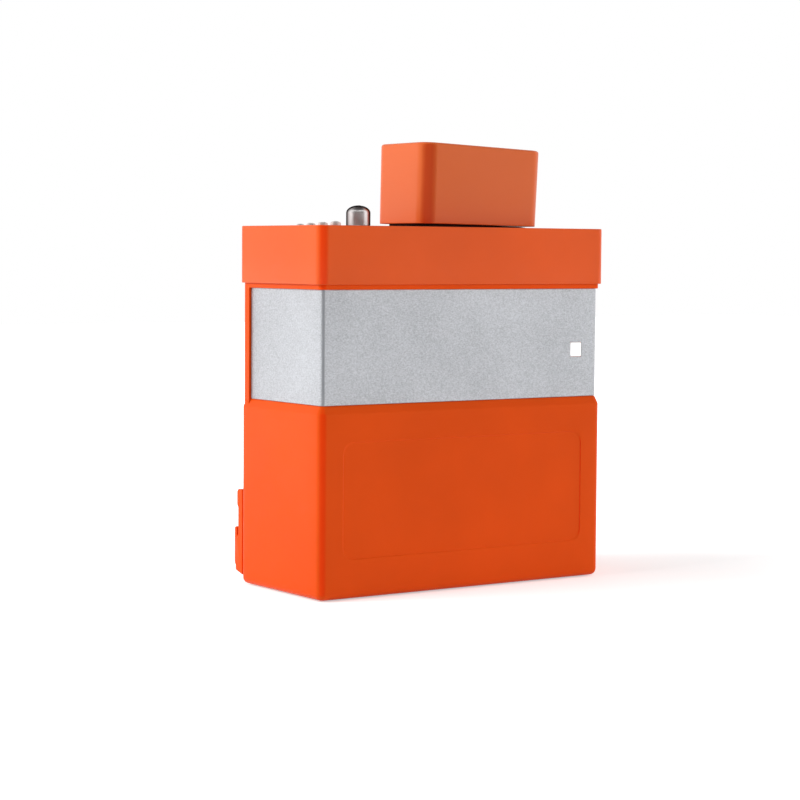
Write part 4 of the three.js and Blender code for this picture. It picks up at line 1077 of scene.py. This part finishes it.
INLET_X, INLET_Z, INLET_Y = 100.0, 118.0, BODY_D / 2
rows = [(8.3, 5.3, 1, INLET_Y - 12), (8.5, 5.5, 1.2, INLET_Y - 11.6), (8.5, 5.5, 1.2, INLET_Y + 1.6)]
rows += [(8.9, 5.9, 1.6, INLET_Y + 2), (14.4, 11.4, 2, INLET_Y + 2), (15, 12, 2.6, INLET_Y + 1.4)]
rows += [(15, 12, 2.6, INLET_Y + 0.3), (11.7, 8.7, 0.5, INLET_Y + 0.3)]
rows += [(11.7, 8.7, 0.5, INLET_Y - 16)]
inlet = put_rings("charger_socket", slab_rings(rows, (INLET_X, INLET_Z), "y"), BLACK_NYLON)
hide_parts("charger_inlet")
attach(inlet, "case")
for order, x in enumerate((INLET_X - 4, INLET_X + 4)):
    put_pin(f"charger_pin_{order + 1}", (x, INLET_Z), 1.1, INLET_Y - 12.5, INLET_Y - 3, 0.7, 24)

# ---------------- lead hooks
# A J-shaped hook moulded in orange ABS at each rear corner, on which the leads are wound.
softened("hook_left", "lead_hook_left", ORANGE_ABS, "case", 0.8, 3)
softened("hook_right", "lead_hook_right", ORANGE_ABS, "case", 0.8, 3)

# ---------------- status lens and feet
# A square diffuser of opal acrylic in the band's window, and four round rubber feet pressed
# into the underside.
OPAL = moulded("opal_acrylic", (0.92, 0.92, 0.91, 1), (0.25, 0.35), 600, 0.01, 0.97)
LENS_GLOW = {"Emission Color": WHITE, "Emission Strength": 0.35}
fill(OPAL.node_tree.nodes["Principled BSDF"], LENS_GLOW)
lens_low, lens_high = np.array(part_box("status_lens")) / MM
lens_face, lens_back = lens_low[1] - SHIFT_Y, lens_high[1] - SHIFT_Y
rows = [(5.4, 5.4, 0.6, lens_face), (5.8, 5.8, 0.9, lens_face + 0.12)]
rows += [(6, 6, 1.0, lens_face + 0.5), (6, 6, 1.0, lens_back)]
lens = put_rings("opal_lens", slab_rings(rows, (LENS_X, LENS_Z), "y"), OPAL)
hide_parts("status_lens")
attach(lens, "case")

FOOT_X, FOOT_Y, FOOT_R = 108, 38, 10
for x, side in ((-FOOT_X, "left"), (FOOT_X, "right")):
    for y, end in ((-FOOT_Y, "front"), (FOOT_Y, "rear")):
        rows = [(0, 0.5, 0), (3, 0.5, 0.3), (3.6, 0, 0.3), (FOOT_R - 0.4, 0, 0.3), (FOOT_R, 0.8, 0.4)]
        rows += [(FOOT_R, 3, 0), (0, 3, 0)]
        foot = put_turned(f"rubber_foot_{end}_{side}", rows, (x, y), 56, RUBBER)
        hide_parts(f"foot_{end}_{side}")
        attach(foot, "case")

# ---------------- what the case holds
# The solids that are already right keep their shape and get their finish here: the electrodes,
# the shelf and everything on it, the boards, the switches and the battery bay.
STEEL_SHEET = metal("electrode_steel", (0.62, 0.62, 0.61), (0.2, 0.32), (40, 1800, 1800), 0.05)
ALUMINIUM_SHEET = metal("aluminium_sheet", (0.66, 0.67, 0.68), (0.4, 0.55), (30, 1500, 1500), 0.06)
CAN_METAL = metal("can_metal", (0.58, 0.60, 0.62), (0.3, 0.42), (800, 800, 30), 0.05)
ANODISED = metal("black_anodised", (0.05, 0.05, 0.055), (0.4, 0.55), (700, 700, 700), 0.05)
GREY_PLASTIC = moulded("grey_plastic", (0.11, 0.115, 0.12, 1), (0.45, 0.6), 600, 0.06)
RELAY_BLUE = moulded("relay_blue", (0.025, 0.045, 0.11, 1), (0.25, 0.35), 900, 0.02)


def stripes_group():
    """Shared rows of wire or plate edges: a slightly uneven wave along the object's Z, which Turn
    swings about X."""
    group, entry, leave = new_group(
        "stripes", {"Turn": "Vector", "Scale": "Float"}, {"Fac": "Float"}
    )
    swing = add(group, "Mapping", {"Vector": where(group), "Rotation": entry["Turn"]})
    wave = {"Vector": swing.outputs["Vector"], "Scale": entry["Scale"], "Distortion": 0.6, "Detail": 2}
    fill(leave, {"Fac": add(group, "TexWave", wave, bands_direction="Z").outputs["Fac"]})
    return group


STRIPES = stripes_group()
WAVE_PITCH = 0.314  # metres from one stripe to the next at scale 1


def striped(name, light, dark, turn, pitch, rough, metallic=0.0):
    """Rows of wire or plate edges: stripes of the given pitch in metres, as colour and as bump.
    They run along Z, swung about X by turn degrees."""
    material, tree, shader = new_material(name)
    lay = {"Turn": (math.radians(turn), 0, 0), "Scale": WAVE_PITCH / pitch}
    wave = add(tree, "Group", lay, node_tree=STRIPES).outputs["Fac"]
    fill(shader, {"Base Color": mixed(tree, wave, dark, light), "Roughness": rough})
    fill(shader, {"Metallic": metallic, "Normal": bumps(tree, wave, 0.4, 0.0005)})
    return material


WINDING = striped("enamelled_wire", (0.42, 0.15, 0.04, 1), (0.12, 0.04, 0.015, 1), 0, 0.0012, 0.3)
LAMINATED = striped("laminated_iron", (0.16, 0.16, 0.17, 1), (0.05, 0.05, 0.055, 1), 90, 0.001, 0.5)


def board_material():
    """Green solder mask with lighter tracks where square cells meet and tinned pads inside them."""
    material, tree, shader = new_material("circuit_board")
    cells = add(tree, "TexVoronoi", {"Vector": where(tree), "Scale": 180}, distance="CHEBYCHEV")
    reach = cells.outputs["Distance"]
    track = spread(tree, reach, 0.38, 0.42)
    greens = mixed(tree, track, (0.012, 0.085, 0.03, 1), (0.03, 0.15, 0.06, 1))
    tinned = mixed(tree, spread(tree, reach, 0.12, 0.09), greens, (0.5, 0.5, 0.48, 1))
    fill(shader, {"Base Color": tinned, "Roughness": 0.35, "Normal": bumps(tree, track, 0.2, 0.0002)})
    return material


BOARD = board_material()
FINISHES = (
    (BLACK_NYLON, ["paddle_base", "paddle_switch", "inductor_plug", "rotary_switch"]),
    (BLACK_NYLON, ["switch_" + button for button in BUTTONS]),
    (STEEL_SHEET, ["paddle_electrode", "back_electrode_plate"]),
    (BRASS, ["test_contact_leaf", "bay_contact_minus", "bay_contact_plus", "shaft_nut"]),
    (GREY_PLASTIC, ["electrode_sleeve", "battery_bay"]),
    (ALUMINIUM_SHEET, ["chassis_shelf", "capacitor_clamp"]),
    (CAN_METAL, ["storage_capacitor"]),
    (WINDING, ["discharge_inductor", "transformer_winding"]),
    (LAMINATED, ["transformer_core"]),
    (RELAY_BLUE, ["patient_relay"]),
    (BOARD, ["main_board", "control_board"]),
    (ANODISED, ["heat_sink"]),
    (PLATED_STEEL, ["knob_shaft"]),
    (RUBBER, ["deck_gasket"]),
    (OPAL, ["status_lamp"]),
)
for finish, nodes in FINISHES:
    for node in nodes:
        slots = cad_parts[node].data.materials
        slots.clear()
        slots.append(finish)
